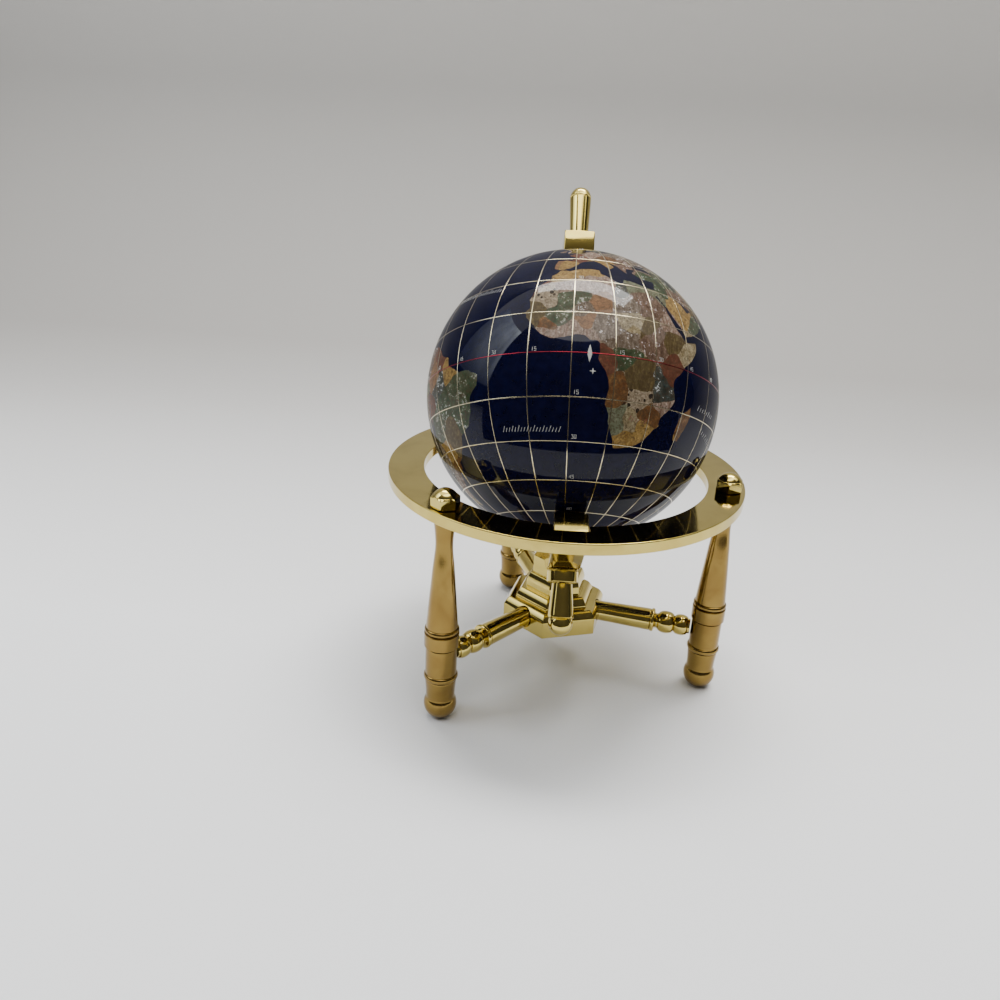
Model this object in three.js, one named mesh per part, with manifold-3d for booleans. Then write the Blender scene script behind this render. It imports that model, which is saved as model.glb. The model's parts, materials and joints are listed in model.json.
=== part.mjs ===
// A gemstone desk globe on its turned metal stand.
// Millimetres, +Z up. The origin is on the floor, under the middle of the horizon ring.
// The front of the stand is towards -Y.

import * as THREE from 'three';
import { mergeVertices } from 'three/addons/utils/BufferGeometryUtils.js';
import Module from 'manifold-3d';

const wasm = await Module();
wasm.setup();

// Driving dimensions.

// The ball and the axis that it turns on.
const ballRadius = 45;
const axisTilt = THREE.MathUtils.degToRad(31.6);
const armTurn = THREE.MathUtils.degToRad(3.8);
const pinRadius = 1.5;
const socketDepth = 6;

// The ring lies below the middle of the ball by this angle on the ball.
const horizonAngle = THREE.MathUtils.degToRad(30.8);
const ringClearance = 0.4;
const ringWidth = 11.4;
const ringThickness = 3.5;
const ringEdge = 0.35;

// The C-shaped arm. Its front end stands a little above the ring.
const armWidth = 9.6;
const armThickness = 7;
const armPastPole = 5;
const armEndRise = 1.2;
const washerRadius = 3;
const washerThickness = 1.2;

// The knobs at the two poles.
const northKnobLength = 16.3;
const northKnobRadius = 3.45;
const northKnobFootRadius = 2.95;
const collarRadius = 4.7;
const collarLength = 3.5;
const southKnobRadius = 3.9;
const southKnobNeckRadius = 3.1;
const southKnobTaper = 9.6;
const southKnobRim = 0.7;
const southBallRadius = 3.75;
const southBallProud = 0.42;

// The turned legs, from the floor up.
const legHeight = 67.8;
const legInset = 5.2;
const firstLegAngle = THREE.MathUtils.degToRad(-129.7);
const footBallRadius = 5.15;
const footFlatRadius = 1.6;
const ankleRadius = 4.5;
const ankleTop = 14.2;
const legBeadRadius = 5.3;
const legBeadWidth = 2;
const drumRadius = 4.85;
const drumLength = 9.8;
const legBandRadius = 5.35;
const legBandWidth = 4.4;
const legGroove = 0.6;
const legNeckRadius = 2.6;
const legTopRadius = 3.2;
const legStudRadius = 1.6;

// The domed nuts on the ring.
const nutFlats = 7.6;
const nutHexHeight = 3.4;
const nutDomeRadius = 3.5;
const nutDomeHeight = 2;
const nutChamfer = 0.5;

// The stretchers between the hub and the legs.
const stretcherRadius = 3.35;
const stretcherEndRadius = 3.7;
const stretcherRingRadius = 3.95;
const stretcherBeadRadius = 3.75;
const stretcherBallRadius = 3.5;
const stretcherNeckRadius = 2.4;
const stretcherRingWidth = 1.5;
const stretcherGroove = 1.1;
const stretcherBeadLength = 5.4;
const stretcherBallLength = 4.6;
const stretcherEndNeck = 0.7;
const stretcherSeat = 2;

// The stepped hexagonal hub.
const hubCornerRadius = 18;
const hubFloor = 0.6;

// Clearances. Pieces that touch keep the first one between them.
const touchGap = 0.3;
const pinClearance = 0.3;
const notchClearance = 0.3;

// How finely round things are divided.
const ringSteps = 72;
const ballSteps = 40;
const turnedSteps = 16;
const stretcherSteps = 12;
const armSteps = 21;

// Places that follow from the sizes above.
const ringInner = ballRadius + ringClearance;
const ringOuter = ringInner + ringWidth;
const ringUnderside = legHeight + touchGap;
const ringTop = ringUnderside + ringThickness;
const ballRise = ballRadius * Math.sin(horizonAngle);
const ballHeight = ringTop + ballRise;
const legCircle = ringOuter - legInset;
const armInner = ballRadius + washerThickness + 2 * touchGap;
const armOuter = armInner + armThickness;
const armMiddle = (armInner + armOuter) / 2;
const drumBottom = ankleTop + legBeadWidth;
const stretcherHeight = drumBottom + 0.55 * drumLength;
const hubUnderside = stretcherHeight - stretcherRadius - touchGap - hubFloor;
const hubTop = ballHeight - armOuter - touchGap;
const hubFlatRadius = hubCornerRadius * Math.cos(Math.PI / 6);
const pinReach = ballRadius - socketDepth + pinClearance;
const knobSeat = armOuter + touchGap;

// Finishes.
const gold = { color: 0xd8ab4e, roughness: 0.16, metalness: 1 };
const goldMaterial = () => new THREE.MeshStandardMaterial(gold);
const lapis = { color: 0x0a0e3a, roughness: 0.08, metalness: 0 };
const ballMaterial = () => new THREE.MeshStandardMaterial(lapis);

// Turns a profile of [radius, height] points about the Z axis. The points run from the bottom up.
function turned(profile, steps) {
  const points = profile.map(([radius, height]) => new THREE.Vector2(radius, height));
  const geometry = new THREE.LatheGeometry(points, steps);
  geometry.rotateX(Math.PI / 2);
  return geometry;
}

// Points on a round bead or ball of one radius, between two angles measured from straight down.
function beadPoints(middleRadius, middleHeight, reach, rise, from, to, count) {
  const points = [];
  for (let i = 0; i <= count; i += 1) {
    const angle = THREE.MathUtils.degToRad(from + (to - from) * i / count);
    points.push([middleRadius + reach * Math.sin(angle), middleHeight - rise * Math.cos(angle)]);
  }
  return points;
}

// Changes a three.js geometry into a solid for cutting and joining, and back.
function solidOf(geometry) {
  const bare = geometry.clone();
  bare.deleteAttribute('normal');
  bare.deleteAttribute('uv');
  const merged = mergeVertices(bare, 1e-4);
  const mesh = new wasm.Mesh({
    numProp: 3,
    vertProperties: new Float32Array(merged.attributes.position.array),
    triVerts: new Uint32Array(merged.index.array),
  });
  mesh.merge();
  return new wasm.Manifold(mesh);
}

function geometryOf(solid) {
  const mesh = solid.getMesh();
  const geometry = new THREE.BufferGeometry();
  geometry.setAttribute('position', new THREE.BufferAttribute(new Float32Array(mesh.vertProperties), 3));
  geometry.setIndex(new THREE.BufferAttribute(new Uint32Array(mesh.triVerts), 1));
  geometry.computeVertexNormals();
  return geometry;
}

// A plain round bar along Z, used to cut holes.
function bar(radius, bottom, top, steps) {
  return turned([[0, bottom], [radius, bottom], [radius, top], [0, top]], steps);
}

// The ball, with a blind socket at each pole. Its own Z is the axis that it turns on.
function makeBall() {
  const socketRadius = pinRadius + pinClearance;
  const socketEnd = ballRadius - socketDepth;
  const mouth = THREE.MathUtils.radToDeg(Math.asin(socketRadius / ballRadius));
  const skin = beadPoints(0, 0, ballRadius, ballRadius, mouth, 180 - mouth, ballSteps / 2);
  return turned([
    [0, -socketEnd],
    [socketRadius, -socketEnd],
    ...skin,
    [socketRadius, socketEnd],
    [0, socketEnd],
  ], ballSteps);
}

// The flat ring, with a hole over each leg and two notches in its inner edge for the arm.
function makeRing() {
  const profile = [
    [ringInner, ringUnderside],
    [ringOuter - ringEdge, ringUnderside],
    [ringOuter, ringUnderside + ringEdge],
    [ringOuter, ringTop - ringEdge],
    [ringOuter - ringEdge, ringTop],
    [ringInner, ringTop],
    [ringInner, ringUnderside],
  ];
  let ring = solidOf(turned(profile, ringSteps));
  for (let i = 0; i < 3; i += 1) {
    const hole = bar(legStudRadius + pinClearance, ringUnderside - 1, ringTop + 1, stretcherSteps);
    hole.translate(legCircle, 0, 0);
    hole.rotateZ(legAngle(i));
    ring = ring.subtract(solidOf(hole));
  }
  // The arm is widest at the ring's top face, so the notches reach past it there.
  const armReach = Math.sqrt(armOuter ** 2 - ballRise ** 2);
  const notchLength = 2 * (armReach + notchClearance);
  const notch = new THREE.BoxGeometry(armWidth + 2 * notchClearance, notchLength, 3 * ringThickness);
  notch.translate(0, 0, ringTop);
  notch.rotateZ(armTurn);
  return geometryOf(ring.subtract(solidOf(notch)));
}

// The arm is drawn in its own plane, with the first coordinate towards the front and the second up.
function makeArm() {
  const northAngle = Math.PI / 2 + axisTilt;
  const start = northAngle - Math.asin(armPastPole / armMiddle);
  const endFromBottom = Math.acos((ballRise - armEndRise) / armMiddle);
  const end = 1.5 * Math.PI + endFromBottom;
  const outline = new THREE.Shape();
  outline.absarc(0, 0, armOuter, start, end, false);
  outline.absarc(0, 0, armInner, end, start, true);
  const flat = new THREE.ExtrudeGeometry(outline, {
    depth: armWidth, bevelEnabled: false, curveSegments: armSteps,
  });
  flat.translate(0, 0, -armWidth / 2);
  const frontUpSide = new THREE.Matrix4().makeBasis(
    new THREE.Vector3(0, -1, 0),
    new THREE.Vector3(0, 0, 1),
    new THREE.Vector3(-1, 0, 0),
  );
  flat.applyMatrix4(frontUpSide);
  const poleHoles = bar(pinRadius + pinClearance, -2 * armOuter, 2 * armOuter, stretcherSteps);
  poleHoles.rotateX(-axisTilt);
  return geometryOf(solidOf(flat).subtract(solidOf(poleHoles)));
}

// A washer with its hole on the pole axis, between the ball and the arm.
function makeWasher() {
  const hole = pinRadius + pinClearance;
  const bottom = ballRadius + touchGap;
  const top = bottom + washerThickness;
  return turned([
    [hole, bottom], [washerRadius, bottom], [washerRadius, top], [hole, top], [hole, bottom],
  ], turnedSteps);
}

// The north knob with its pin: a tapered grip with a groove and a domed end.
function makeNorthFinial() {
  const top = knobSeat + northKnobLength;
  const domeFoot = top - northKnobRadius;
  const dome = beadPoints(0, domeFoot, northKnobRadius, northKnobRadius, 90, 180, 4);
  return turned([
    [0, pinReach],
    [pinRadius, pinReach],
    [pinRadius, knobSeat],
    [northKnobFootRadius, knobSeat],
    [northKnobRadius, domeFoot - 0.5],
    [northKnobRadius - 0.25, domeFoot - 0.25],
    ...dome.slice(0, -1),
    [0, top],
  ], turnedSteps);
}

// The plain band between the arm and the south knob.
function makeCollar() {
  const hole = pinRadius + pinClearance;
  const top = knobSeat + collarLength;
  return turned([
    [hole, knobSeat], [collarRadius, knobSeat], [collarRadius, top], [hole, top], [hole, knobSeat],
  ], turnedSteps);
}

// The south knob with its pin: a flared grip, a thin rim and a ball at its end.
function makeSouthFinial() {
  const seat = knobSeat + collarLength + touchGap;
  const rim = seat + southKnobTaper;
  const ballMiddle = rim + southKnobRim + southBallRadius * southBallProud;
  const ballFoot = THREE.MathUtils.radToDeg(Math.acos(southBallProud));
  const end = beadPoints(0, ballMiddle, southBallRadius, southBallRadius, ballFoot, 180, 6);
  return turned([
    [0, pinReach],
    [pinRadius, pinReach],
    [pinRadius, seat],
    [southKnobNeckRadius, seat],
    [southKnobNeckRadius, seat + 0.6],
    [southKnobRadius, rim],
    [southKnobRadius, rim + southKnobRim],
    ...end.slice(0, -1),
    [0, ballMiddle + southBallRadius],
  ], turnedSteps);
}

// A turned leg: foot ball, ankle, bead, drum, band between two grooves, then a long tapering shaft
// with a waist below the ring and a stud that goes through the ring into the nut.
function makeLeg() {
  const ballMiddle = Math.sqrt(footBallRadius ** 2 - footFlatRadius ** 2);
  const flatAngle = THREE.MathUtils.radToDeg(Math.asin(footFlatRadius / footBallRadius));
  const neckAngle = 180 - THREE.MathUtils.radToDeg(Math.asin(ankleRadius / footBallRadius));
  const foot = beadPoints(0, ballMiddle, footBallRadius, footBallRadius, flatAngle, neckAngle, 5);
  const bandBottom = drumBottom + drumLength;
  const bandTop = bandBottom + legBandWidth;
  const shaftBottom = bandTop + legBeadWidth;
  const shaft = legHeight - shaftBottom;
  const taper = [[0.25, 0.3], [0.54, 0.68], [0.77, 1]].map(([share, narrowing]) => [
    drumRadius + (legNeckRadius - drumRadius) * narrowing, shaftBottom + shaft * share,
  ]);
  const studTop = ringTop + nutHexHeight;
  return turned([
    [0, 0],
    ...foot,
    [drumRadius, ankleTop - legGroove / 2],
    [legBeadRadius, ankleTop + legBeadWidth * 0.3],
    [legBeadRadius, drumBottom - legBeadWidth * 0.3],
    [drumRadius, drumBottom],
    [drumRadius, bandBottom - legGroove],
    [drumRadius - legGroove / 2, bandBottom - legGroove / 2],
    [legBandRadius, bandBottom],
    [legBandRadius, bandTop],
    [drumRadius - legGroove / 2, bandTop + legGroove / 2],
    [legBeadRadius, bandTop + legGroove],
    [drumRadius, shaftBottom],
    ...taper,
    [legTopRadius, legHeight - legGroove],
    [legTopRadius, legHeight],
    [legStudRadius, legHeight],
    [legStudRadius, studTop],
    [0, studTop],
  ], turnedSteps);
}

// A domed nut: a hexagon with eased corners under a round dome, and a blind bore for the stud.
function makeNut() {
  const bottom = ringTop + touchGap;
  const hexTop = bottom + nutHexHeight;
  const corner = nutFlats / 2 / Math.cos(Math.PI / 6);
  const eased = [
    [0, bottom],
    [corner - nutChamfer, bottom],
    [corner, bottom + nutChamfer / 2],
    [corner, hexTop - nutChamfer],
    [nutDomeRadius, hexTop],
    [0, hexTop],
  ];
  // The dome is a part of a ball whose middle lies inside the hexagon.
  const ballSize = (nutDomeRadius ** 2 + nutDomeHeight ** 2) / (2 * nutDomeHeight);
  const ballMiddle = hexTop + nutDomeHeight - ballSize;
  const domeFoot = 180 - THREE.MathUtils.radToDeg(Math.asin(nutDomeRadius / ballSize));
  const dome = beadPoints(0, ballMiddle, ballSize, ballSize, domeFoot, 180, 4);
  const cap = turned([
    [0, hexTop - nutChamfer],
    [nutDomeRadius, hexTop - nutChamfer],
    ...dome.slice(0, -1),
    [0, hexTop + nutDomeHeight],
  ], turnedSteps);
  const hexagon = bar(corner, bottom, hexTop, 6);
  const bore = bar(legStudRadius + pinClearance, bottom - 1, bottom + nutHexHeight, stretcherSteps);
  const block = solidOf(hexagon).intersect(solidOf(turned(eased, turnedSteps)));
  return geometryOf(block.add(solidOf(cap)).subtract(solidOf(bore)));
}

// A stretcher, drawn along its own Z from the middle of the hub: a bar that widens a little towards
// the leg, a ring, a bead and a ball.
function makeStretcher() {
  const start = hubFlatRadius - stretcherSeat;
  const end = legCircle - drumRadius - touchGap;
  const halfBall = stretcherBallLength / 2;
  const halfBead = stretcherBeadLength / 2;
  const ballMiddle = end - stretcherEndNeck - halfBall;
  const beadMiddle = ballMiddle - halfBall - halfBead;
  const ringEnd = beadMiddle - halfBead - stretcherGroove;
  const ringStart = ringEnd - stretcherRingWidth;
  const ease = 0.15 * stretcherRingWidth;
  const ballReach = stretcherBallRadius - stretcherNeckRadius;
  const beadReach = stretcherBeadRadius - stretcherNeckRadius;
  return turned([
    [0, start],
    [stretcherRadius, start],
    [stretcherRadius, hubFlatRadius + stretcherSeat],
    [stretcherEndRadius, ringStart],
    [stretcherRingRadius, ringStart + ease],
    [stretcherRingRadius, ringEnd - ease],
    [stretcherRadius, ringEnd],
    ...beadPoints(stretcherNeckRadius, beadMiddle, beadReach, halfBead, 20, 170, 6),
    ...beadPoints(stretcherNeckRadius, ballMiddle, ballReach, halfBall, 20, 165, 5),
    [stretcherNeckRadius, end],
    [0, end],
  ], stretcherSteps);
}

// The hub: a hexagon that steps in tier by tier, with a socket for each stretcher.
function makeHub() {
  const tall = hubTop - hubUnderside;
  // Each tier has an upright face, a sloping nosing and a flat tread. The heights are shares of the
  // hub's height, and the reaches are shares of its corner radius.
  const tiers = [
    { upright: 0.238, slope: 0.115, nosing: 0.111, tread: 0.122 },
    { upright: 0.022, slope: 0.119, nosing: 0.1, tread: 0.089 },
    { upright: 0.105, slope: 0.132, nosing: 0.067, tread: 0.044 },
  ];
  let radius = hubCornerRadius;
  let height = hubUnderside;
  const profile = [[0, height], [radius, height]];
  for (const tier of tiers) {
    height += tier.upright * tall;
    profile.push([radius, height]);
    // The nosing is slightly round.
    profile.push([radius - 0.35 * tier.nosing * hubCornerRadius, height + 0.65 * tier.slope * tall]);
    height += tier.slope * tall;
    radius -= tier.nosing * hubCornerRadius;
    profile.push([radius, height]);
    radius -= tier.tread * hubCornerRadius;
    profile.push([radius, height]);
  }
  profile.push([radius, hubTop], [0, hubTop]);
  let hub = solidOf(turned(profile, 6));
  for (let i = 0; i < 3; i += 1) {
    const socket = bar(stretcherRadius + touchGap, hubFlatRadius - stretcherSeat - touchGap,
      2 * hubCornerRadius, stretcherSteps);
    socket.rotateY(Math.PI / 2);
    // The turned profile has a corner at the front, so its flat faces lie 60 degrees apart from there.
    socket.rotateZ(THREE.MathUtils.degToRad(-120 + 120 * i));
    socket.translate(0, 0, stretcherHeight);
    hub = hub.subtract(solidOf(socket));
  }
  return geometryOf(hub);
}

function legAngle(i) {
  return firstLegAngle + i * 2 * Math.PI / 3;
}

// The whole globe, put together.

const globe = new THREE.Group();

function place(name, geometry, material, parent = globe) {
  const mesh = new THREE.Mesh(geometry, material);
  mesh.name = name;
  parent.add(mesh);
  return mesh;
}

// The arm's own frame stands at the ball's middle, turned about the vertical. Inside it, the pole
// frame has its Z along the axis that the ball turns on, and the north pole leans to the back.
const armFrame = new THREE.Group();
armFrame.position.z = ballHeight;
armFrame.rotation.z = armTurn;
globe.add(armFrame);

const northFrame = new THREE.Group();
northFrame.rotation.x = -axisTilt;
armFrame.add(northFrame);

const southFrame = new THREE.Group();
southFrame.rotation.x = Math.PI - axisTilt;
armFrame.add(southFrame);

place('globe_ball', makeBall(), ballMaterial(), northFrame);
place('meridian_arm', makeArm(), goldMaterial(), armFrame);
place('north_finial', makeNorthFinial(), goldMaterial(), northFrame);
place('north_washer', makeWasher(), goldMaterial(), northFrame);
place('south_finial', makeSouthFinial(), goldMaterial(), southFrame);
place('south_washer', makeWasher(), goldMaterial(), southFrame);
place('south_collar', makeCollar(), goldMaterial(), southFrame);
place('horizon_ring', makeRing(), goldMaterial());

['front_left', 'front_right', 'back'].forEach((side, i) => {
  const corner = new THREE.Group();
  corner.rotation.z = legAngle(i);
  globe.add(corner);
  place(`${side}_leg`, makeLeg(), goldMaterial(), corner).position.x = legCircle;
  place(`${side}_nut`, makeNut(), goldMaterial(), corner).position.x = legCircle;
  const stretcher = place(`${side}_stretcher`, makeStretcher(), goldMaterial(), corner);
  stretcher.rotation.y = Math.PI / 2;
  stretcher.position.z = stretcherHeight;
});

const hub = place('hub', makeHub(), goldMaterial());
hub.rotation.z = firstLegAngle + THREE.MathUtils.degToRad(120);

export default globe;
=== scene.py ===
# %% [markdown]
# # A gemstone desk globe
#
# This notebook dresses a small desk globe in Blender. The real one is a dark blue stone ball inlaid
# with a map of many stones, held in a gold-plated stand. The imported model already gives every
# piece its place and size, so it is loaded first and nothing is fitted by eye.

# %% Load the model
import json
import math

import bmesh
import bpy
import numpy as np
from mathutils import Matrix, Vector, noise


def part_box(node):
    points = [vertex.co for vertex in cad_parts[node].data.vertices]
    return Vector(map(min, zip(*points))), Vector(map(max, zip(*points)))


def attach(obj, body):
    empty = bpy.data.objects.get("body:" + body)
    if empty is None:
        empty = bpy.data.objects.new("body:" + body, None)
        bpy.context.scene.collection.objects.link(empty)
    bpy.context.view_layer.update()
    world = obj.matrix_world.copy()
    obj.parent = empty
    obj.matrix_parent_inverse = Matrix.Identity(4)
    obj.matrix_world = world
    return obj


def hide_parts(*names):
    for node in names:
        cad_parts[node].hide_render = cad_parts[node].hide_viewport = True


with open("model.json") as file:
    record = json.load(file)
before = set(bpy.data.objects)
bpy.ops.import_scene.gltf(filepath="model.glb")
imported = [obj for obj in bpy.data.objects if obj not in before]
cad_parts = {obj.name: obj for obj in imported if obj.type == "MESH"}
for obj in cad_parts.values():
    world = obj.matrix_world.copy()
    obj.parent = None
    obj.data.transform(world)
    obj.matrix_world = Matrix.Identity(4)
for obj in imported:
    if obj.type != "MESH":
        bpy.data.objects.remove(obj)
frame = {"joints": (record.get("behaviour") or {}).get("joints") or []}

scene = bpy.context.scene
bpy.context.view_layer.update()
MM = 0.001

# %% [markdown]
# ## The places that everything else follows
#
# The ball turns on one hinge, so that hinge gives the ball's middle and the line through its poles.
# The floor is at height zero. The other places come from the boxes of the solids.

# %% Places from the model
spin = frame["joints"][0]
BALL_MIDDLE = Vector(spin["pos_m"])
NORTH = Vector(spin["axis"]).normalized()
LEG_SIDES = ("front_left", "front_right", "back")

# The arm stands in the upright plane that holds the pole line. Its front is towards the camera.
FRONT = -Vector((NORTH.x, NORTH.y, 0)).normalized()
ARM_SIDE = FRONT.cross(Vector((0, 0, 1)))
TILT = math.acos(NORTH.z)


def middle_of(node):
    low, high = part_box(node)
    return (Vector(low) + Vector(high)) / 2


RING_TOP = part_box("horizon_ring")[1][2]
LEG_PLACES = {side: middle_of(f"{side}_leg") for side in LEG_SIDES}
LEG_CIRCLE = sum(math.hypot(p.x, p.y) for p in LEG_PLACES.values()) / len(LEG_PLACES)
print("ball middle", BALL_MIDDLE, "tilt", math.degrees(TILT), "leg circle", LEG_CIRCLE)

# %% [markdown]
# ## The camera
#
# The photograph was taken with a phone held a little above the ring and close to it. Its place was
# worked out from the ring's ellipse, the map's grid and the tape's marks. A camera's own axes are
# right, up and backwards, so the three directions are worked out first and become its matrix.

# %% Camera
CAMERA_PLACE = Vector((0.0, -0.2632, 0.1701))
CAMERA_PITCH = math.radians(-22.98)
CAMERA_TURN = math.radians(-4.47)
CAMERA_ROLL = math.radians(3.05)
FOCAL_PIXELS = 865.7
IMAGE_SIDE = 1000

level_right = Vector((math.cos(CAMERA_TURN), -math.sin(CAMERA_TURN), 0))
ahead = Vector((
    math.sin(CAMERA_TURN) * math.cos(CAMERA_PITCH),
    math.cos(CAMERA_TURN) * math.cos(CAMERA_PITCH),
    math.sin(CAMERA_PITCH),
))
level_up = level_right.cross(ahead)
right = level_right * math.cos(CAMERA_ROLL) + level_up * math.sin(CAMERA_ROLL)
up = level_up * math.cos(CAMERA_ROLL) - level_right * math.sin(CAMERA_ROLL)

camera_data = bpy.data.cameras.new("camera")
camera_data.sensor_width = 36
camera_data.lens = FOCAL_PIXELS / IMAGE_SIDE * camera_data.sensor_width
camera_data.clip_start = 0.01
camera = bpy.data.objects.new("camera", camera_data)
scene.collection.objects.link(camera)
camera.matrix_world = Matrix.Translation(CAMERA_PLACE) @ Matrix((right, up, -ahead)).transposed().to_4x4()
scene.camera = camera
print("lens", round(camera_data.lens, 2), "mm")

# %% [markdown]
# ## Small tools for shaders
#
# Shaders are networks of nodes. Building them by hand in code is wordy, so one short function makes
# a node, sets its values and joins its inputs. Another makes a material with its Principled shader.

# %% Shader tools
def put(tree, socket, value):
    """Joins a source to a socket, or sets the socket if the value is a plain one."""
    if isinstance(value, bpy.types.NodeSocket):
        tree.links.new(value, socket)
    else:
        socket.default_value = value


def node(tree, kind, inputs=None, **settings):
    made = tree.nodes.new(kind)
    for name, value in settings.items():
        setattr(made, name, value)
    for socket, value in (inputs or {}).items():
        put(tree, made.inputs[socket], value)
    return made


def feed(tree, shader, **sources):
    for socket, value in sources.items():
        put(tree, shader.inputs[socket.replace("_", " ")], value)


def new_material(name, **plain):
    material = bpy.data.materials.new(name)
    material.use_nodes = True
    shader = material.node_tree.nodes["Principled BSDF"]
    feed(material.node_tree, shader, **plain)
    return material, material.node_tree, shader


def blend_colors(tree, factor, first, second):
    return node(tree, "ShaderNodeMix", {0: factor, 6: first, 7: second}, data_type="RGBA").outputs[2]


def math_node(tree, operation, *terms):
    return node(tree, "ShaderNodeMath", dict(enumerate(terms)), operation=operation).outputs[0]


def span(tree, value, low, high, to_low=0.0, to_high=1.0):
    return node(tree, "ShaderNodeMapRange", {0: value, 1: low, 2: high, 3: to_low, 4: to_high}).outputs[0]


def noise_node(tree, place, scale, detail, distortion=0.0):
    values = {"Vector": place, "Scale": scale, "Detail": detail, "Distortion": distortion}
    return node(tree, "ShaderNodeTexNoise", values).outputs["Fac"]


def spot_on(tree, kind):
    return node(tree, "ShaderNodeTexCoord").outputs[kind]


def parts_of(tree, place):
    return node(tree, "ShaderNodeSeparateXYZ", {0: place}).outputs


def add_bump(tree, shader, height, strength, depth):
    bump = node(tree, "ShaderNodeBump", {"Strength": strength, "Distance": depth, "Height": height})
    feed(tree, shader, Normal=bump.outputs[0])


print("shader tools ready")

# %% [markdown]
# ## The floor and the light
#
# Polished metal shows mostly what is around it, so the surroundings matter as much as the metal. The
# globe stood on pale paper that rises behind it, under a wide bright ceiling, with a window on the
# left. The paper is one bent sheet, far enough away that a camera can go round the globe inside it.

# %% Paper sweep
SWEEP_HALF_WIDTH = 1.6
SWEEP_FRONT = -1.5
SWEEP_FLAT_END = 0.24
SWEEP_BEND = 0.20
SWEEP_TOP = 1.4
SWEEP_STEPS = 24

sweep_line = [(SWEEP_FRONT, 0.0)]
for i in range(SWEEP_STEPS + 1):
    turn = math.pi / 2 * i / SWEEP_STEPS
    sweep_line.append((SWEEP_FLAT_END + SWEEP_BEND * math.sin(turn), SWEEP_BEND * (1 - math.cos(turn))))
sweep_line.append((SWEEP_FLAT_END + SWEEP_BEND, SWEEP_TOP))
sweep_points = [(x, y, z) for y, z in sweep_line for x in (-SWEEP_HALF_WIDTH, SWEEP_HALF_WIDTH)]
sweep_faces = [(2 * i, 2 * i + 1, 2 * i + 3, 2 * i + 2) for i in range(len(sweep_line) - 1)]


def stage_sheet(name, points, faces, material):
    mesh = bpy.data.meshes.new(name)
    mesh.from_pydata(points, [], faces)
    mesh.shade_smooth()
    mesh.materials.append(material)
    made = bpy.data.objects.new(name, mesh)
    scene.collection.objects.link(made)
    return made


paper, paper_tree, paper_shader = new_material("paper", Roughness=0.75)
paper_place = spot_on(paper_tree, "Object")
paper_tooth = noise_node(paper_tree, paper_place, 9.0, 3.0)
# Painted shade: the paper is painted darker towards the back, where it rises into the wall. Higher up it is
# painted lighter again, which is painted light that evens out how the light falls off with height.
paper_back_painted_shade = span(paper_tree, parts_of(paper_tree, paper_place)[1], 0.0, 0.34)
paper_height_painted_light = span(paper_tree, parts_of(paper_tree, paper_place)[2], 0.02, 0.25)
paper_color = blend_colors(paper_tree, paper_tooth, (0.83, 0.84, 0.855, 1), (0.88, 0.885, 0.89, 1))
paper_color = blend_colors(paper_tree, paper_back_painted_shade, paper_color, (0.34, 0.328, 0.312, 1))
paper_color = blend_colors(paper_tree, paper_height_painted_light, paper_color, (0.43, 0.415, 0.39, 1))
feed(paper_tree, paper_shader, Base_Color=paper_color)
stage_sheet("paper_sweep", sweep_points, sweep_faces, paper)
print("paper sweep of", len(sweep_faces), "strips")

# %% [markdown]
# ## What the metal and the ball mirror
#
# Towards the camera the room was dark from the edge of the paper up to the ceiling lights. A dark
# curtain stands for it. It is a bent sheet that only mirror-like reflections can see, so it neither
# shades the floor nor shows in a view from behind. The window is a glowing card that fades towards
# its foot, which gives the soft blue-grey patch on the left of the ball.

# %% Curtain and window
def bent_sheet(radius, side_from, side_to, low, high, steps=24):
    """A strip of an upright cylinder round the globe. Sides are degrees from the front, to the right."""
    points, faces = [], []
    for i in range(steps + 1):
        side = math.radians(side_from + (side_to - side_from) * i / steps)
        for height in (low, high):
            points.append((radius * math.sin(side), -radius * math.cos(side), height))
    for i in range(steps):
        faces.append((2 * i, 2 * i + 2, 2 * i + 3, 2 * i + 1))
    return points, faces


def height_seen(radius, degrees):
    return BALL_MIDDLE.z + radius * math.tan(math.radians(degrees))


def mirror_only(made):
    made.visible_camera = False
    made.visible_diffuse = False
    made.visible_shadow = False


def new_glow(name, strength):
    """A material that only glows, so its own surface is black."""
    return new_material(name, Base_Color=(0, 0, 0, 1), Emission_Strength=strength)


CURTAIN_RADIUS = 0.24
curtain_top = height_seen(CURTAIN_RADIUS, 56)
curtain_shade, curtain_tree, curtain_shader = new_material("painted_room_shade", Roughness=0.9)
# The curtain is painted shade: a dark sheet where the room was dark. Its top part is painted lighter.
curtain_height = parts_of(curtain_tree, spot_on(curtain_tree, "Generated"))[2]
curtain_height = span(curtain_tree, curtain_height, 0.6, 1.0)
feed(curtain_tree, curtain_shader, Base_Color=blend_colors(
    curtain_tree, curtain_height, (0.042, 0.038, 0.034, 1), (0.15, 0.14, 0.12, 1)))
curtain_shape = bent_sheet(CURTAIN_RADIUS, -62, 80, 0.004, curtain_top)
mirror_only(stage_sheet("dark_curtain", *curtain_shape, curtain_shade))

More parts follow.
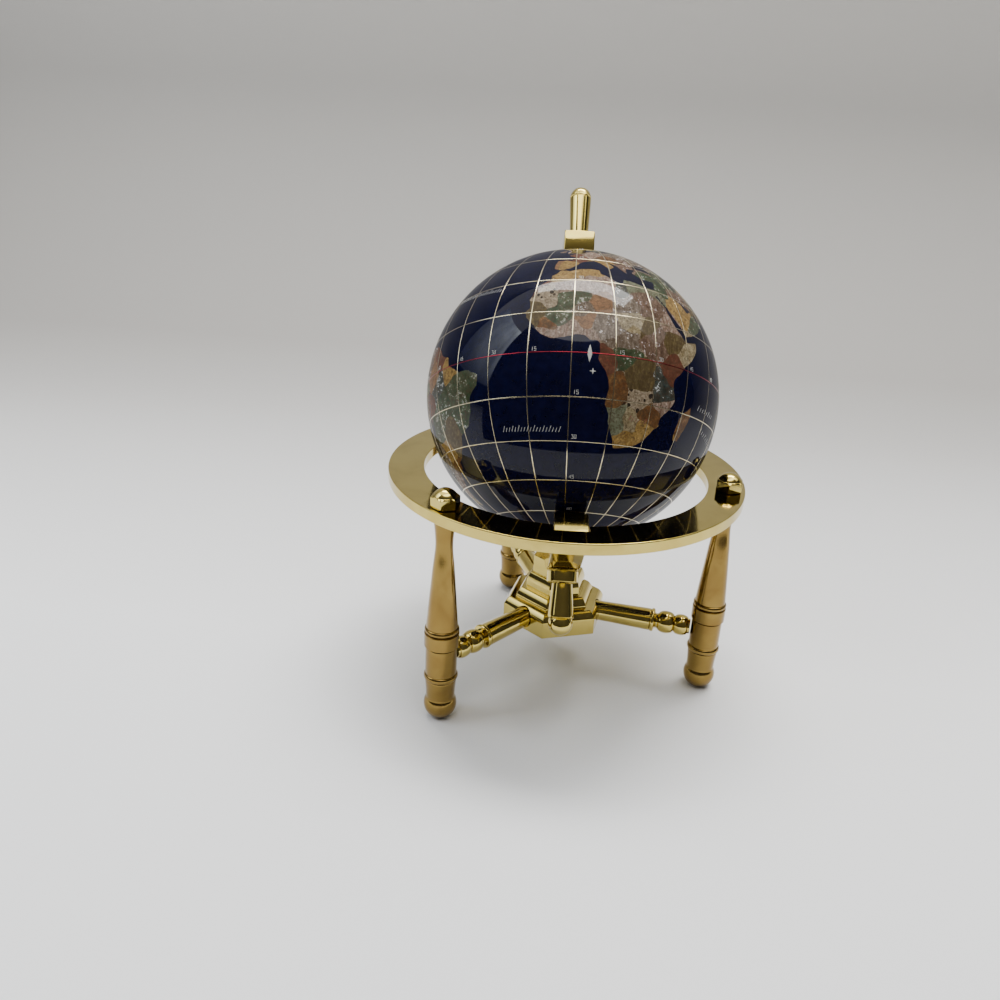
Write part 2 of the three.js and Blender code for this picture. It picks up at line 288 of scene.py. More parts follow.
WINDOW_RADIUS = 0.62
window_glow, window_tree, window_shader = new_glow("window_glow", 14.0)
window_spot = spot_on(window_tree, "Generated")
window_parts = parts_of(window_tree, window_spot)
window_cloud = span(window_tree, noise_node(window_tree, window_spot, 2.6, 3.0), 0.3, 0.7, 0.45, 1.0)
window_rise = span(window_tree, window_parts[2], 0.0, 0.95, 0.05, 1.0)
window_side = span(window_tree, window_parts[1], 0.0, 1.0, 1.0, 0.15)
window_light = math_node(window_tree, "MULTIPLY", window_rise, window_cloud)
window_light = math_node(window_tree, "MULTIPLY", window_light, window_side)
feed(window_tree, window_shader, Emission_Color=blend_colors(
    window_tree, window_light, (0.02, 0.022, 0.03, 1), (0.86, 0.93, 1.0, 1)))
window_heights = (height_seen(WINDOW_RADIUS, 10), height_seen(WINDOW_RADIUS, 50))
window = stage_sheet("window_card", *bent_sheet(WINDOW_RADIUS, -105, -63, *window_heights), window_glow)
window.visible_camera = False
window.visible_shadow = False
print("curtain up to", round(curtain_top, 2), "m")

# %% Lights
def soft_light(name, place, aim, size, watts, color):
    data = bpy.data.lights.new(name, "AREA")
    data.shape = "RECTANGLE"
    data.size, data.size_y = size
    data.energy = watts
    data.color = color
    light = bpy.data.objects.new(name, data)
    scene.collection.objects.link(light)
    light.location = place
    light.rotation_mode = "QUATERNION"
    light.rotation_quaternion = (Vector(aim) - Vector(place)).to_track_quat("-Z", "Y")


soft_light("ceiling_back", (0.05, 0.38, 1.15), (0.0, 0.05, 0.0), (1.0, 0.55), 32.0, (1.0, 0.99, 0.975))
soft_light("ceiling_front", (0.15, -0.36, 1.15), (0.0, -0.1, 0.0), (1.6, 0.6), 8.5, (1.0, 0.985, 0.96))

# The rest of the white ceiling only shows in the polish: it is a dim card above the lights.
CEILING_HEIGHT = 1.2
CEILING_HALF = 1.5
ceiling_glow, ceiling_tree, ceiling_shader = new_glow("ceiling_glow", 2.2)
ceiling_cloud = noise_node(ceiling_tree, spot_on(ceiling_tree, "Object"), 3.0, 2.0)
feed(ceiling_tree, ceiling_shader, Emission_Color=blend_colors(
    ceiling_tree, ceiling_cloud, (0.80, 0.78, 0.72, 1), (1.0, 0.98, 0.93, 1)))
ceiling_corners = [(x * CEILING_HALF, y * CEILING_HALF, CEILING_HEIGHT)
                   for x, y in ((-1, -1), (1, -1), (1, 1), (-1, 1))]
mirror_only(stage_sheet("ceiling_card", ceiling_corners, [(0, 3, 2, 1)], ceiling_glow))

world = bpy.data.worlds.new("room")
world.use_nodes = True
feed(world.node_tree, world.node_tree.nodes["Background"], Color=(0.84, 0.87, 0.92, 1), Strength=0.07)
scene.world = world

# %% [markdown]
# ## Marks that every polished surface has
#
# Even new plating and polished stone have fine hair scratches from wiping, and faint smudges from
# fingers. They are what makes a mirror surface look real. Several materials need them, so they are
# one shader group: it gives a scratch mask, a smudge mask and a height for a bump. Scratches are
# noise that is stretched a lot one way, in two directions.

# %% Polish marks group
polish_marks = bpy.data.node_groups.new("polish_marks", "ShaderNodeTree")
polish_marks.interface.new_socket("Place", in_out="INPUT", socket_type="NodeSocketVector")
for label in ("Scratches per mm", "Smudges per mm"):
    polish_marks.interface.new_socket(label, in_out="INPUT", socket_type="NodeSocketFloat")
for label in ("Scratches", "Smudges", "Height"):
    polish_marks.interface.new_socket(label, in_out="OUTPUT", socket_type="NodeSocketFloat")
marks_in = polish_marks.nodes.new("NodeGroupInput").outputs
scratch_masks = []
for turn, stretch in ((25, (1.0, 14.0, 3.0)), (-50, (12.0, 1.2, 2.0))):
    turned_place = node(polish_marks, "ShaderNodeMapping", {
        "Vector": marks_in["Place"], "Scale": stretch,
        "Rotation": (math.radians(turn), math.radians(turn / 2), math.radians(turn)),
    }).outputs[0]
    hair = node(polish_marks, "ShaderNodeTexNoise", {
        "Vector": turned_place, "Scale": marks_in["Scratches per mm"], "Detail": 2.0, "Roughness": 0.6})
    scratch_masks.append(span(polish_marks, hair.outputs["Fac"], 0.60, 0.72))
scratches = math_node(polish_marks, "MAXIMUM", *scratch_masks)
smear = noise_node(polish_marks, marks_in["Place"], marks_in["Smudges per mm"], 3.0, 0.6)
node(polish_marks, "NodeGroupOutput", {
    "Scratches": scratches,
    "Smudges": span(polish_marks, smear, 0.42, 0.68),
    "Height": math_node(polish_marks, "MULTIPLY", scratches, -1.0),
})


def own_place(tree):
    """The place along the piece's own axes, which each piece below stores with its points."""
    return node(tree, "ShaderNodeAttribute", attribute_name="own_place").outputs["Vector"]


def add_marks(tree, place, per_mm, smudges_per_mm):
    return node(tree, "ShaderNodeGroup", {
        "Place": place, "Scratches per mm": per_mm / MM, "Smudges per mm": smudges_per_mm / MM,
    }, node_tree=polish_marks).outputs


print("group", polish_marks.name, "with", len(polish_marks.nodes), "nodes")

# %% [markdown]
# ## Gold plate
#
# The stand is turned brass with a thin polished gold plate. Every piece was finished on a lathe or
# along its length, which leaves very fine lines around its axis. Each piece below is made with its
# own Z along that axis, so lines that depend only on the distance from the axis and the height
# along it run the right way on all of them. The plate is a metal, so its colour is its reflection.
# The legs are less sharply polished than the rest, so they have a satin plate. Its browner, much darker
# colour is painted shade for the darker surroundings that the legs mirror.

# %% Gold plate material
def plate_finish(name, clean, smudged, smoothest):
    """Gold plate in two close tones. The last value is its roughness where it is cleanest."""
    material, tree, shader = new_material(name, Metallic=1.0)
    place = own_place(tree)
    marks = add_marks(tree, place, 0.25, 0.09)
    parts = parts_of(tree, place)
    squares = [math_node(tree, "MULTIPLY", part, part) for part in parts[:2]]
    from_axis = math_node(tree, "SQRT", math_node(tree, "ADD", *squares))
    lathe_place = node(tree, "ShaderNodeCombineXYZ", {0: from_axis, 2: parts[2]}).outputs[0]
    lathe_lines = noise_node(tree, lathe_place, 2600.0, 3.0)
    rough = math_node(tree, "MULTIPLY_ADD", marks["Smudges"], 0.05, smoothest)
    rough = math_node(tree, "MULTIPLY_ADD", marks["Scratches"], 0.05, rough)
    rough = math_node(tree, "MULTIPLY_ADD", lathe_lines, 0.04, rough)
    feed(tree, shader, Base_Color=blend_colors(tree, marks["Smudges"], clean, smudged), Roughness=rough)
    relief = math_node(tree, "MULTIPLY_ADD", marks["Height"], 0.5, lathe_lines)
    add_bump(tree, shader, relief, 0.10, 0.03 * MM)
    return material


gold_plate = plate_finish("gold_plate", (0.58, 0.46, 0.13, 1), (0.50, 0.385, 0.10, 1), 0.05)
# The satin plate is a darker copy of the gold: painted shade on the legs.
shaded_satin_plate = plate_finish("shaded_satin_gold_plate", (0.26, 0.172, 0.048, 1), (0.20, 0.122, 0.034, 1), 0.11)
print("gold plate with", len(gold_plate.node_tree.nodes), "nodes")

# %% [markdown]
# ## Tools for turned pieces
#
# Most pieces of the stand were cut on a lathe. A lathe needs only half of the outline: points of
# radius and height, swept once round. Real edges are never knife sharp, and a thin line of light on
# each edge is what the eye takes for metal, so every corner of an outline gets a tiny round first.

# %% Outline helpers
def arc(middle_radius, middle_height, reach, rise, start, end, steps=16):
    points = []
    for i in range(steps + 1):
        angle = math.radians(start + (end - start) * i / steps)
        points.append((middle_radius + reach * math.sin(angle), middle_height - rise * math.cos(angle)))
    return points


def smooth_line(points, steps=8):
    """A curve through the points, with its two ends repeated so that it starts and stops there."""
    knots = [Vector(p) for p in [points[0], *points, points[-1]]]
    line = []
    for a, b, c, d in zip(knots, knots[1:], knots[2:], knots[3:]):
        for i in range(steps):
            t = i / steps
            line.append(tuple(0.5 * (2 * b + (c - a) * t + (2 * a - 5 * b + 4 * c - d) * t ** 2
                                     + (3 * b - a - 3 * c + d) * t ** 3)))
    return line + [tuple(points[-1])]


def ease_corners(profile, radius, closed=False, steps=4):
    """Puts a small curve of about this radius in place of each corner."""
    eased = []
    for i, corner in enumerate(profile):
        here = Vector(corner)
        back = Vector(profile[i - 1]) - here
        on = Vector(profile[(i + 1) % len(profile)]) - here
        at_end = not closed and i in (0, len(profile) - 1)
        if at_end or back.angle(on) > math.radians(155):
            eased.append(corner)
            continue
        reach = min(radius / math.tan(back.angle(on) / 2), 0.45 * back.length, 0.45 * on.length)
        start = here + back.normalized() * reach
        end = here + on.normalized() * reach
        for step in range(steps + 1):
            t = step / steps
            eased.append(tuple((1 - t) ** 2 * start + 2 * t * (1 - t) * here + t ** 2 * end))
    return eased


print("a corner becomes", len(ease_corners([(0, 0), (1, 0), (1, 1)], 0.1)) - 2, "points")

# %% Meshes from outlines
def axes_at(origin, x, y, z):
    return Matrix.Translation(origin) @ Matrix((x, y, z)).transposed().to_4x4()


def turned(profile, steps=120, closed=False, radius_at=None):
    """Points and faces of an outline in millimetres, swept round Z. radius_at can reshape it."""
    points, faces, rows = [], [], []
    for row, (radius, height) in enumerate(profile):
        count = 1 if radius < 1e-6 else steps
        rows.append(list(range(len(points), len(points) + count)))
        for k in range(count):
            angle = 2 * math.pi * k / steps
            reach = radius_at(row, radius, angle) if radius_at else radius
            points.append((reach * math.cos(angle) * MM, reach * math.sin(angle) * MM, height * MM))
    for low, high in zip(rows, rows[1:] + ([rows[0]] if closed else [])):
        for k in range(steps):
            on = (k + 1) % steps
            corners = (low[k % len(low)], low[on % len(low)], high[on % len(high)], high[k % len(high)])
            face = list(dict.fromkeys(corners))
            if len(face) > 2:
                faces.append(face)
    return points, faces


def new_solid(name, shape, place):
    """A mesh object from (points, faces), moved to its place in the model's own frame."""
    mesh = bpy.data.meshes.new(name)
    mesh.from_pydata(shape[0], [], shape[1])
    mesh.validate()
    mesh.transform(place)
    made = bpy.data.objects.new(name, mesh)
    scene.collection.objects.link(made)
    return made


def cut(target, shape, place):
    """Cuts one closed shape out of a piece and keeps the result as its mesh."""
    cutter = new_solid("cutter", shape, place)
    bore = target.modifiers.new("bore", "BOOLEAN")
    bore.object = cutter
    bore.solver = "EXACT"
    shaped = bpy.data.meshes.new_from_object(target.evaluated_get(bpy.context.evaluated_depsgraph_get()))
    target.modifiers.remove(bore)
    target.data = shaped
    bpy.data.objects.remove(cutter)


def finish_piece(made, place, material, body, sharp=40):
    """Stores each point's place along the piece's own axes, then gives its finish and its body."""
    mesh = made.data
    spots = np.empty(len(mesh.vertices) * 3)
    mesh.vertices.foreach_get("co", spots)
    back = np.array(place.inverted())
    own_spots = spots.reshape(-1, 3) @ back[:3, :3].T + back[:3, 3]
    own = mesh.attributes.new("own_place", "FLOAT_VECTOR", "POINT")
    own.data.foreach_set("vector", own_spots.ravel())
    mesh.set_sharp_from_angle(angle=math.radians(sharp))
    mesh.materials.clear()
    mesh.materials.append(material)
    settle = made.modifiers.new("settle_normals", "WEIGHTED_NORMAL")
    settle.keep_sharp = True
    settle.weight = 80
    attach(made, body)


def gold_piece(node_name, shape, place, sharp=40, cuts=(), bevel=0, plate=gold_plate):
    made = new_solid(f"{node_name}_finished", shape, place)
    if bevel:
        ease_edges(made, bevel)
    for cutter_shape, cutter_place in cuts:
        cut(made, cutter_shape, cutter_place)
    finish_piece(made, place, plate, "stand", sharp)
    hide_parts(node_name)
    return made


def ease_edges(made, width):
    form = bmesh.new()
    form.from_mesh(made.data)
    edges = [e for e in form.edges if e.is_manifold and e.calc_face_angle() > math.radians(32)]
    bmesh.ops.bevel(form, geom=edges, offset=width * MM, segments=3, profile=0.5, affect="EDGES")
    form.to_mesh(made.data)
    form.free()


def box_shape(x, y, z):
    corners = [(sx * x / 2 * MM, sy * y / 2 * MM, sz * z / 2 * MM)
               for sx in (-1, 1) for sy in (-1, 1) for sz in (-1, 1)]
    faces = [(0, 1, 3, 2), (4, 6, 7, 5), (0, 4, 5, 1), (2, 3, 7, 6), (0, 2, 6, 4), (1, 5, 7, 3)]
    return corners, faces


UP = Vector((0, 0, 1))
EDGE = 0.16
print("an edge is eased by", EDGE, "mm")

# %% [markdown]
# ## The legs
#
# Each leg is one turned bar. From the floor it has a ball foot, an ankle that widens a little, a bead,
# a plain drum that holds the stretcher, a broad band with a groove above and below, and a long shaft
# that narrows to a waist under the ring. A thin stud goes on through the ring into the nut.

# %% Leg outline
BALL_RADIUS = 45
LEG_HEIGHT = 67.8
FOOT_RADIUS = 5.15
FOOT_FLAT = 1.6
ANKLE_RADIUS = 4.5
ANKLE_TOP = 14.2
BEAD_RADIUS = 5.3
BEAD_WIDTH = 2.0
DRUM_RADIUS = 4.85
DRUM_LENGTH = 9.8
BAND_RADIUS = 5.35
BAND_WIDTH = 4.4
GROOVE = 0.6
WAIST_RADIUS = 2.6
SHAFT_TOP_RADIUS = 3.2
STUD_RADIUS = 1.6
NUT_HEX_HEIGHT = 3.4

foot_middle = math.sqrt(FOOT_RADIUS ** 2 - FOOT_FLAT ** 2)
flat_angle = math.degrees(math.asin(FOOT_FLAT / FOOT_RADIUS))
neck_angle = 180 - math.degrees(math.asin(ANKLE_RADIUS / FOOT_RADIUS))
drum_bottom = ANKLE_TOP + BEAD_WIDTH
band_bottom = drum_bottom + DRUM_LENGTH
band_top = band_bottom + BAND_WIDTH
shaft_bottom = band_top + BEAD_WIDTH
shaft = LEG_HEIGHT - shaft_bottom


def narrowing(share):
    return DRUM_RADIUS + (WAIST_RADIUS - DRUM_RADIUS) * share


# A bead is nearly a half circle. Its first and last few degrees are hidden in the foot.
BEAD_FROM, BEAD_TO = 8, 172


def round_bead(bottom, top, reach_radius, foot_radius):
    middle = (bottom + top) / 2
    return arc(foot_radius, middle, reach_radius - foot_radius, (top - bottom) / 2, BEAD_FROM, BEAD_TO, 12)


leg_outline = [(0, 0)]
leg_outline += arc(0, foot_middle, FOOT_RADIUS, FOOT_RADIUS, flat_angle, neck_angle, 28)
leg_outline += smooth_line([
    (ANKLE_RADIUS - 0.02, foot_middle + FOOT_RADIUS * 0.60),
    (ANKLE_RADIUS + 0.08, foot_middle + FOOT_RADIUS * 1.1),
    (DRUM_RADIUS, ANKLE_TOP - GROOVE / 2),
])
leg_outline += round_bead(ANKLE_TOP, drum_bottom, BEAD_RADIUS, DRUM_RADIUS - 0.25)
leg_outline += ease_corners([
    (DRUM_RADIUS, drum_bottom + 0.1),
    (DRUM_RADIUS, band_bottom - GROOVE),
    (DRUM_RADIUS - GROOVE / 2, band_bottom - GROOVE / 2),
    (BAND_RADIUS, band_bottom),
    (BAND_RADIUS, band_top),
    (DRUM_RADIUS - GROOVE / 2, band_top + GROOVE / 2),
], EDGE)
leg_outline += round_bead(band_top + GROOVE / 2, shaft_bottom, BEAD_RADIUS, DRUM_RADIUS - 0.25)
leg_outline += smooth_line([
    (DRUM_RADIUS, shaft_bottom + 0.15),
    (narrowing(0.3), shaft_bottom + shaft * 0.25),
    (narrowing(0.68), shaft_bottom + shaft * 0.54),
    (WAIST_RADIUS, shaft_bottom + shaft * 0.77),
    (SHAFT_TOP_RADIUS, LEG_HEIGHT - GROOVE),
], 12)
leg_outline += ease_corners([
    (SHAFT_TOP_RADIUS, LEG_HEIGHT - GROOVE / 2),
    (SHAFT_TOP_RADIUS, LEG_HEIGHT),
    (STUD_RADIUS, LEG_HEIGHT),
    (STUD_RADIUS, RING_TOP / MM + NUT_HEX_HEIGHT),
    (0, RING_TOP / MM + NUT_HEX_HEIGHT),
], EDGE)

# Each leg stands on its own place with its X turned outward. The nut on top shares these axes.
LEG_WAYS = {side: Vector((place.x, place.y, 0)).normalized() for side, place in LEG_PLACES.items()}
leg_axes = {}
for side, outward in LEG_WAYS.items():
    foot = Vector((LEG_PLACES[side].x, LEG_PLACES[side].y, 0))
    leg_axes[side] = axes_at(foot, outward, UP.cross(outward), UP)
    gold_piece(f"{side}_leg", turned(leg_outline), leg_axes[side], plate=shaded_satin_plate)
print("leg outline has", len(leg_outline), "points")

# %% [markdown]
# ## The nuts
#
# A domed nut closes each leg on the ring. Its lower part is a hexagon whose corners are turned away
# by a chamfer, which leaves the curved line across each flat. A hexagon is only a radius that
# changes with the angle, so the same turning tool makes it: the radius of each row is the smaller of
# the hexagon and the chamfer cone.

# %% Nuts
NUT_FLATS = 7.6
NUT_DOME_RADIUS = 3.5
NUT_DOME_HEIGHT = 2.0
NUT_BORE = 1.9
TOUCH = 0.3
nut_corner = NUT_FLATS / 2 / math.cos(math.pi / 6)
nut_foot = RING_TOP / MM + TOUCH
hex_top = nut_foot + NUT_HEX_HEIGHT
# The dome is part of a ball whose middle lies inside the hexagon.
nut_ball = (NUT_DOME_RADIUS ** 2 + NUT_DOME_HEIGHT ** 2) / (2 * NUT_DOME_HEIGHT)
nut_middle = hex_top + NUT_DOME_HEIGHT - nut_ball
dome_angle = 180 - math.degrees(math.asin(NUT_DOME_RADIUS / nut_ball))
nut_outline = [(0, hex_top - TOUCH), (NUT_BORE, hex_top - TOUCH), (NUT_BORE, nut_foot)]
nut_outline += ease_corners([
    (NUT_BORE, nut_foot),
    (nut_corner - 0.45, nut_foot),
    (nut_corner - 0.05, nut_foot + 0.25),
    (nut_corner - 0.05, hex_top - 0.55),
    (NUT_DOME_RADIUS + 0.2, hex_top - 0.05),
    (NUT_DOME_RADIUS, hex_top - 0.05),
], 0.2)[1:]
nut_outline += arc(0, nut_middle, nut_ball, nut_ball, dome_angle, 180, 24)[:-1]
nut_outline += [(0, hex_top + NUT_DOME_HEIGHT)]


def six_sided(row, radius, angle):
    across = (angle + math.pi / 6) % (math.pi / 3) - math.pi / 6
    return min(radius, NUT_FLATS / 2 / math.cos(across))


for side in LEG_SIDES:
    gold_piece(f"{side}_nut", turned(nut_outline, 240, radius_at=six_sided), leg_axes[side], 28)
print("nut outline has", len(nut_outline), "points")

# %% [markdown]
# ## The stretchers
#
# Three turned bars tie the legs to the hub. Each starts as a plain tube, widens a little, and ends at
# the leg with a ring, a longer bead and a ball, with thin necks between them.

# %% Stretchers
HUB_CORNER = 18.0
STRETCHER_RADIUS = 3.35
STRETCHER_END_RADIUS = 3.7
STRETCHER_RING = (3.95, 1.5)
STRETCHER_BEAD = (3.75, 5.4)
STRETCHER_BALL = (3.5, 4.6)
STRETCHER_NECK = 2.4
stretcher_height = drum_bottom + 0.55 * DRUM_LENGTH
hub_flat = HUB_CORNER * math.cos(math.pi / 6)
stretcher_end = LEG_CIRCLE / MM - DRUM_RADIUS - TOUCH
ball_middle = stretcher_end - 0.7 - STRETCHER_BALL[1] / 2
bead_middle = ball_middle - STRETCHER_BALL[1] / 2 - STRETCHER_BEAD[1] / 2
ring_end = bead_middle - STRETCHER_BEAD[1] / 2 - 1.1
ring_start = ring_end - STRETCHER_RING[1]

stretcher_outline = [(0, hub_flat - 2)]
stretcher_outline += ease_corners([
    (0, hub_flat - 2),
    (STRETCHER_RADIUS, hub_flat - 2),
    (STRETCHER_RADIUS, hub_flat + 2),
    (STRETCHER_END_RADIUS, ring_start),
    (STRETCHER_END_RADIUS - 0.3, ring_start + 0.05),
], EDGE)[1:]
stretcher_outline += round_bead(ring_start + 0.1, ring_end, STRETCHER_RING[0], STRETCHER_END_RADIUS - 0.3)
stretcher_outline += [(STRETCHER_NECK + 0.5, ring_end + 0.1), (STRETCHER_NECK, ring_end + 0.45)]
for middle, (radius, length) in ((bead_middle, STRETCHER_BEAD), (ball_middle, STRETCHER_BALL)):
    reach = radius - STRETCHER_NECK
    stretcher_outline += arc(STRETCHER_NECK, middle, reach, length / 2, BEAD_FROM, BEAD_TO, 24)
stretcher_outline += [(STRETCHER_NECK, stretcher_end), (0, stretcher_end)]

stretcher_start = Vector((0, 0, stretcher_height * MM))
stretcher_axes = []
for side, outward in LEG_WAYS.items():
    stretcher_axes.append(axes_at(stretcher_start, -UP, UP.cross(outward), outward))
    gold_piece(f"{side}_stretcher", turned(stretcher_outline), stretcher_axes[-1])
print("stretchers end", round(stretcher_end, 2), "mm from the middle")

# %% [markdown]
# ## The hub
#
# The hub is a hexagonal block that steps in like a small pyramid. A step is an upright face, a
# rounded nosing that leans in, and a flat tread, so three steps of that kind make its outline, and
# sweeping it with only six corners makes it hexagonal. A bevel eases the edges, and the sockets for
# the stretchers are cut last so that their rims stay crisp.

# %% Hub
hub_low, hub_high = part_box("hub")
HUB_BOTTOM = hub_low[2] / MM
HUB_TOP = hub_high[2] / MM
hub_tall = HUB_TOP - HUB_BOTTOM
HUB_STEPS = (
    {"upright": 0.238, "lean": 0.115, "nosing": 0.111, "tread": 0.122},
    {"upright": 0.022, "lean": 0.119, "nosing": 0.1, "tread": 0.089},
    {"upright": 0.105, "lean": 0.132, "nosing": 0.067, "tread": 0.044},
)
hub_outline = [(0, HUB_BOTTOM), (HUB_CORNER, HUB_BOTTOM)]
hub_radius, hub_height = HUB_CORNER, HUB_BOTTOM
for step in HUB_STEPS:
    hub_height += step["upright"] * hub_tall
    lean, nosing = step["lean"] * hub_tall, step["nosing"] * HUB_CORNER
    # The nosing is slightly round: a quarter curve that is blended with a straight slope.
    for i in range(9):
        turn = math.pi / 2 * i / 8
        inward = 0.35 * (1 - math.cos(turn)) + 0.65 * i / 8
        upward = 0.35 * math.sin(turn) + 0.65 * i / 8
        hub_outline.append((hub_radius - nosing * inward, hub_height + lean * upward))
    hub_height += lean
    hub_radius -= nosing + step["tread"] * HUB_CORNER
    hub_outline.append((hub_radius, hub_height))
hub_outline += [(hub_radius, HUB_TOP), (0, HUB_TOP)]

corner_way = Matrix.Rotation(math.radians(30), 4, "Z") @ LEG_WAYS["front_left"]
hub_place = axes_at(Vector(), corner_way, UP.cross(corner_way), UP)


def rod(radius, low, high, steps):
    """A plain round rod, which cuts a hole."""
    return turned([(0, low), (radius, low), (radius, high), (0, high)], steps)


socket = rod(STRETCHER_RADIUS + TOUCH, hub_flat - 2.3, 2 * HUB_CORNER, 96)
sockets = [(socket, axes) for axes in stretcher_axes]
hub = gold_piece("hub", turned(hub_outline, 6), hub_place, cuts=sockets, bevel=0.22)
print("hub is", round(hub_tall, 2), "mm tall with", len(hub.data.polygons), "faces")

# %% [markdown]
# ## The horizon ring
#
# The ball sits in a flat ring whose inner edge just clears it. Three studs come up through the ring,
# and it has a notch at the front and the back where the arm goes past.

# %% Ring
RING_WIDTH = 11.4
RING_INNER = 45.4
RING_OUTER = RING_INNER + RING_WIDTH
RING_EDGE = 0.35
ARM_WIDTH = 9.6
ARM_THICKNESS = 7.0
ARM_INNER = 46.8
ARM_OUTER = ARM_INNER + ARM_THICKNESS
ring_low, ring_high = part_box("horizon_ring")
ring_bottom, ring_top = ring_low[2] / MM, ring_high[2] / MM
ball_rise = BALL_MIDDLE.z / MM - ring_top

ring_outline = ease_corners([
    (RING_INNER, ring_bottom), (RING_OUTER, ring_bottom), (RING_OUTER, ring_top), (RING_INNER, ring_top),
], RING_EDGE, closed=True, steps=6)
arm_reach = math.sqrt(ARM_OUTER ** 2 - ball_rise ** 2) + TOUCH
notch = box_shape(2 * arm_reach, 20, ARM_WIDTH + 2 * TOUCH)
ring_cuts = [(notch, axes_at(Vector((0, 0, ring_top * MM)), FRONT, UP, ARM_SIDE))]
stud_hole = rod(STUD_RADIUS + TOUCH, ring_bottom - 2, ring_top + 2, 64)
ring_cuts += [(stud_hole, Matrix.Translation((place.x, place.y, 0))) for place in LEG_PLACES.values()]
gold_piece("horizon_ring", turned(ring_outline, 240, closed=True), Matrix(), cuts=ring_cuts)
print("ring runs from", round(RING_INNER, 1), "to", round(RING_OUTER, 1), "mm")

# %% [markdown]
# ## The arm
#
# The arm is a flat bar bent into a C round the ball. It carries both poles, and its front end stands
# up through the ring. Its section is a rectangle with eased edges that is swept along an arc. The
# arm's own Z is the middle of that arc, so the polish lines run along the bar.

# %% Arm
ARM_PAST_POLE = 5.0
ARM_END_RISE = 1.2
ARM_EASE = 0.45
ARM_SWEEP_STEPS = 180
arm_middle = (ARM_INNER + ARM_OUTER) / 2
arm_start = math.pi / 2 + TILT - math.asin(ARM_PAST_POLE / arm_middle)
arm_end = 1.5 * math.pi + math.acos((ball_rise - ARM_END_RISE) / arm_middle)

half_thick, half_wide = ARM_THICKNESS / 2, ARM_WIDTH / 2
arm_corners = ease_corners([
    (-half_thick, -half_wide), (half_thick, -half_wide), (half_thick, half_wide), (-half_thick, half_wide),
], ARM_EASE, closed=True, steps=5)
# The straight sides get points of their own, so that the ends can be round.
arm_section = []
for (x0, y0), (x1, y1) in zip(arm_corners, arm_corners[1:] + arm_corners[:1]):
    parts = max(1, round(math.hypot(x1 - x0, y1 - y0) / 0.8))
    arm_section += [(x0 + (x1 - x0) * i / parts, y0 + (y1 - y0) * i / parts) for i in range(parts)]

# Each cut end is filed slightly round, like a pillow. So an end is a row of sections that shrink
# towards the middle line. A point lies further back the further it is from that line, and the edge
# is eased. A station is its angle, the way back, how much its section keeps, how far its edge moves
# in, and how far the ease moves it back.
END_BULGE = 0.5
END_STEPS = 10
arm_ends = [(i / END_STEPS, ARM_EASE, 0.0) for i in range(1, END_STEPS + 1)]
for i in range(1, 6):
    turn = math.pi / 2 * i / 5
    arm_ends.append((1.0, ARM_EASE * (1 - math.sin(turn)), ARM_EASE * (1 - math.cos(turn))))
arm_stations = [(arm_start, 1, *end) for end in arm_ends]
end_room = 1.5 * (END_BULGE + ARM_EASE) / arm_middle
first = arm_start + end_room
last = arm_end - end_room
for i in range(ARM_SWEEP_STEPS + 1):
    arm_stations.append((first + (last - first) * i / ARM_SWEEP_STEPS, 0, 1.0, 0.0, 0.0))
arm_stations += [(arm_end, -1, *end) for end in reversed(arm_ends)]

arm_points, arm_faces = [], []
for angle, back_way, keep, edge, eased in arm_stations:
    for across, along in arm_section:
        off_middle = ((across / half_thick) ** 2 + (along / half_wide) ** 2) / 2 * keep ** 2
        turn = angle + back_way * (END_BULGE * off_middle + eased) / arm_middle
        radius = arm_middle + across * keep * (1 - edge / half_thick)
        side = along * keep * (1 - edge / half_wide)
        arm_points.append((radius * math.cos(turn) * MM, radius * math.sin(turn) * MM, side * MM))
section_count = len(arm_section)
for station in range(len(arm_stations) - 1):
    base = station * section_count
    for k in range(section_count):
        on = (k + 1) % section_count
        arm_faces.append((base + k, base + on, base + section_count + on, base + section_count + k))
arm_faces.append(list(range(section_count))[::-1])
arm_faces.append([len(arm_points) - section_count + k for k in range(section_count)])
arm_place = axes_at(BALL_MIDDLE, FRONT, UP, ARM_SIDE)

PIN_RADIUS = 1.5
POLE_HOLE_SPARE = 3
EAST = NORTH.cross(FRONT * math.cos(TILT) + UP * math.sin(TILT))
north_place = axes_at(BALL_MIDDLE, EAST.cross(NORTH), EAST, NORTH)
south_place = axes_at(BALL_MIDDLE, EAST.cross(NORTH), -EAST, -NORTH)
pole_hole = rod(PIN_RADIUS + TOUCH, ARM_INNER - POLE_HOLE_SPARE, ARM_OUTER + POLE_HOLE_SPARE, 48)
gold_piece("meridian_arm", (arm_points, arm_faces), arm_place, cuts=[
    (pole_hole, north_place), (pole_hole, south_place)])
print("arm covers", round(math.degrees(arm_end - arm_start), 1), "degrees")

# %% [markdown]
# ## Knobs, washers and collar
#
# A turned knob holds each end of the pole line. The north one is a tapered grip with a groove under
# a domed end. The south one has a collar, a flared grip, a thin rim and a ball. Each knob's pin goes
# on through the arm and a washer into the ball.

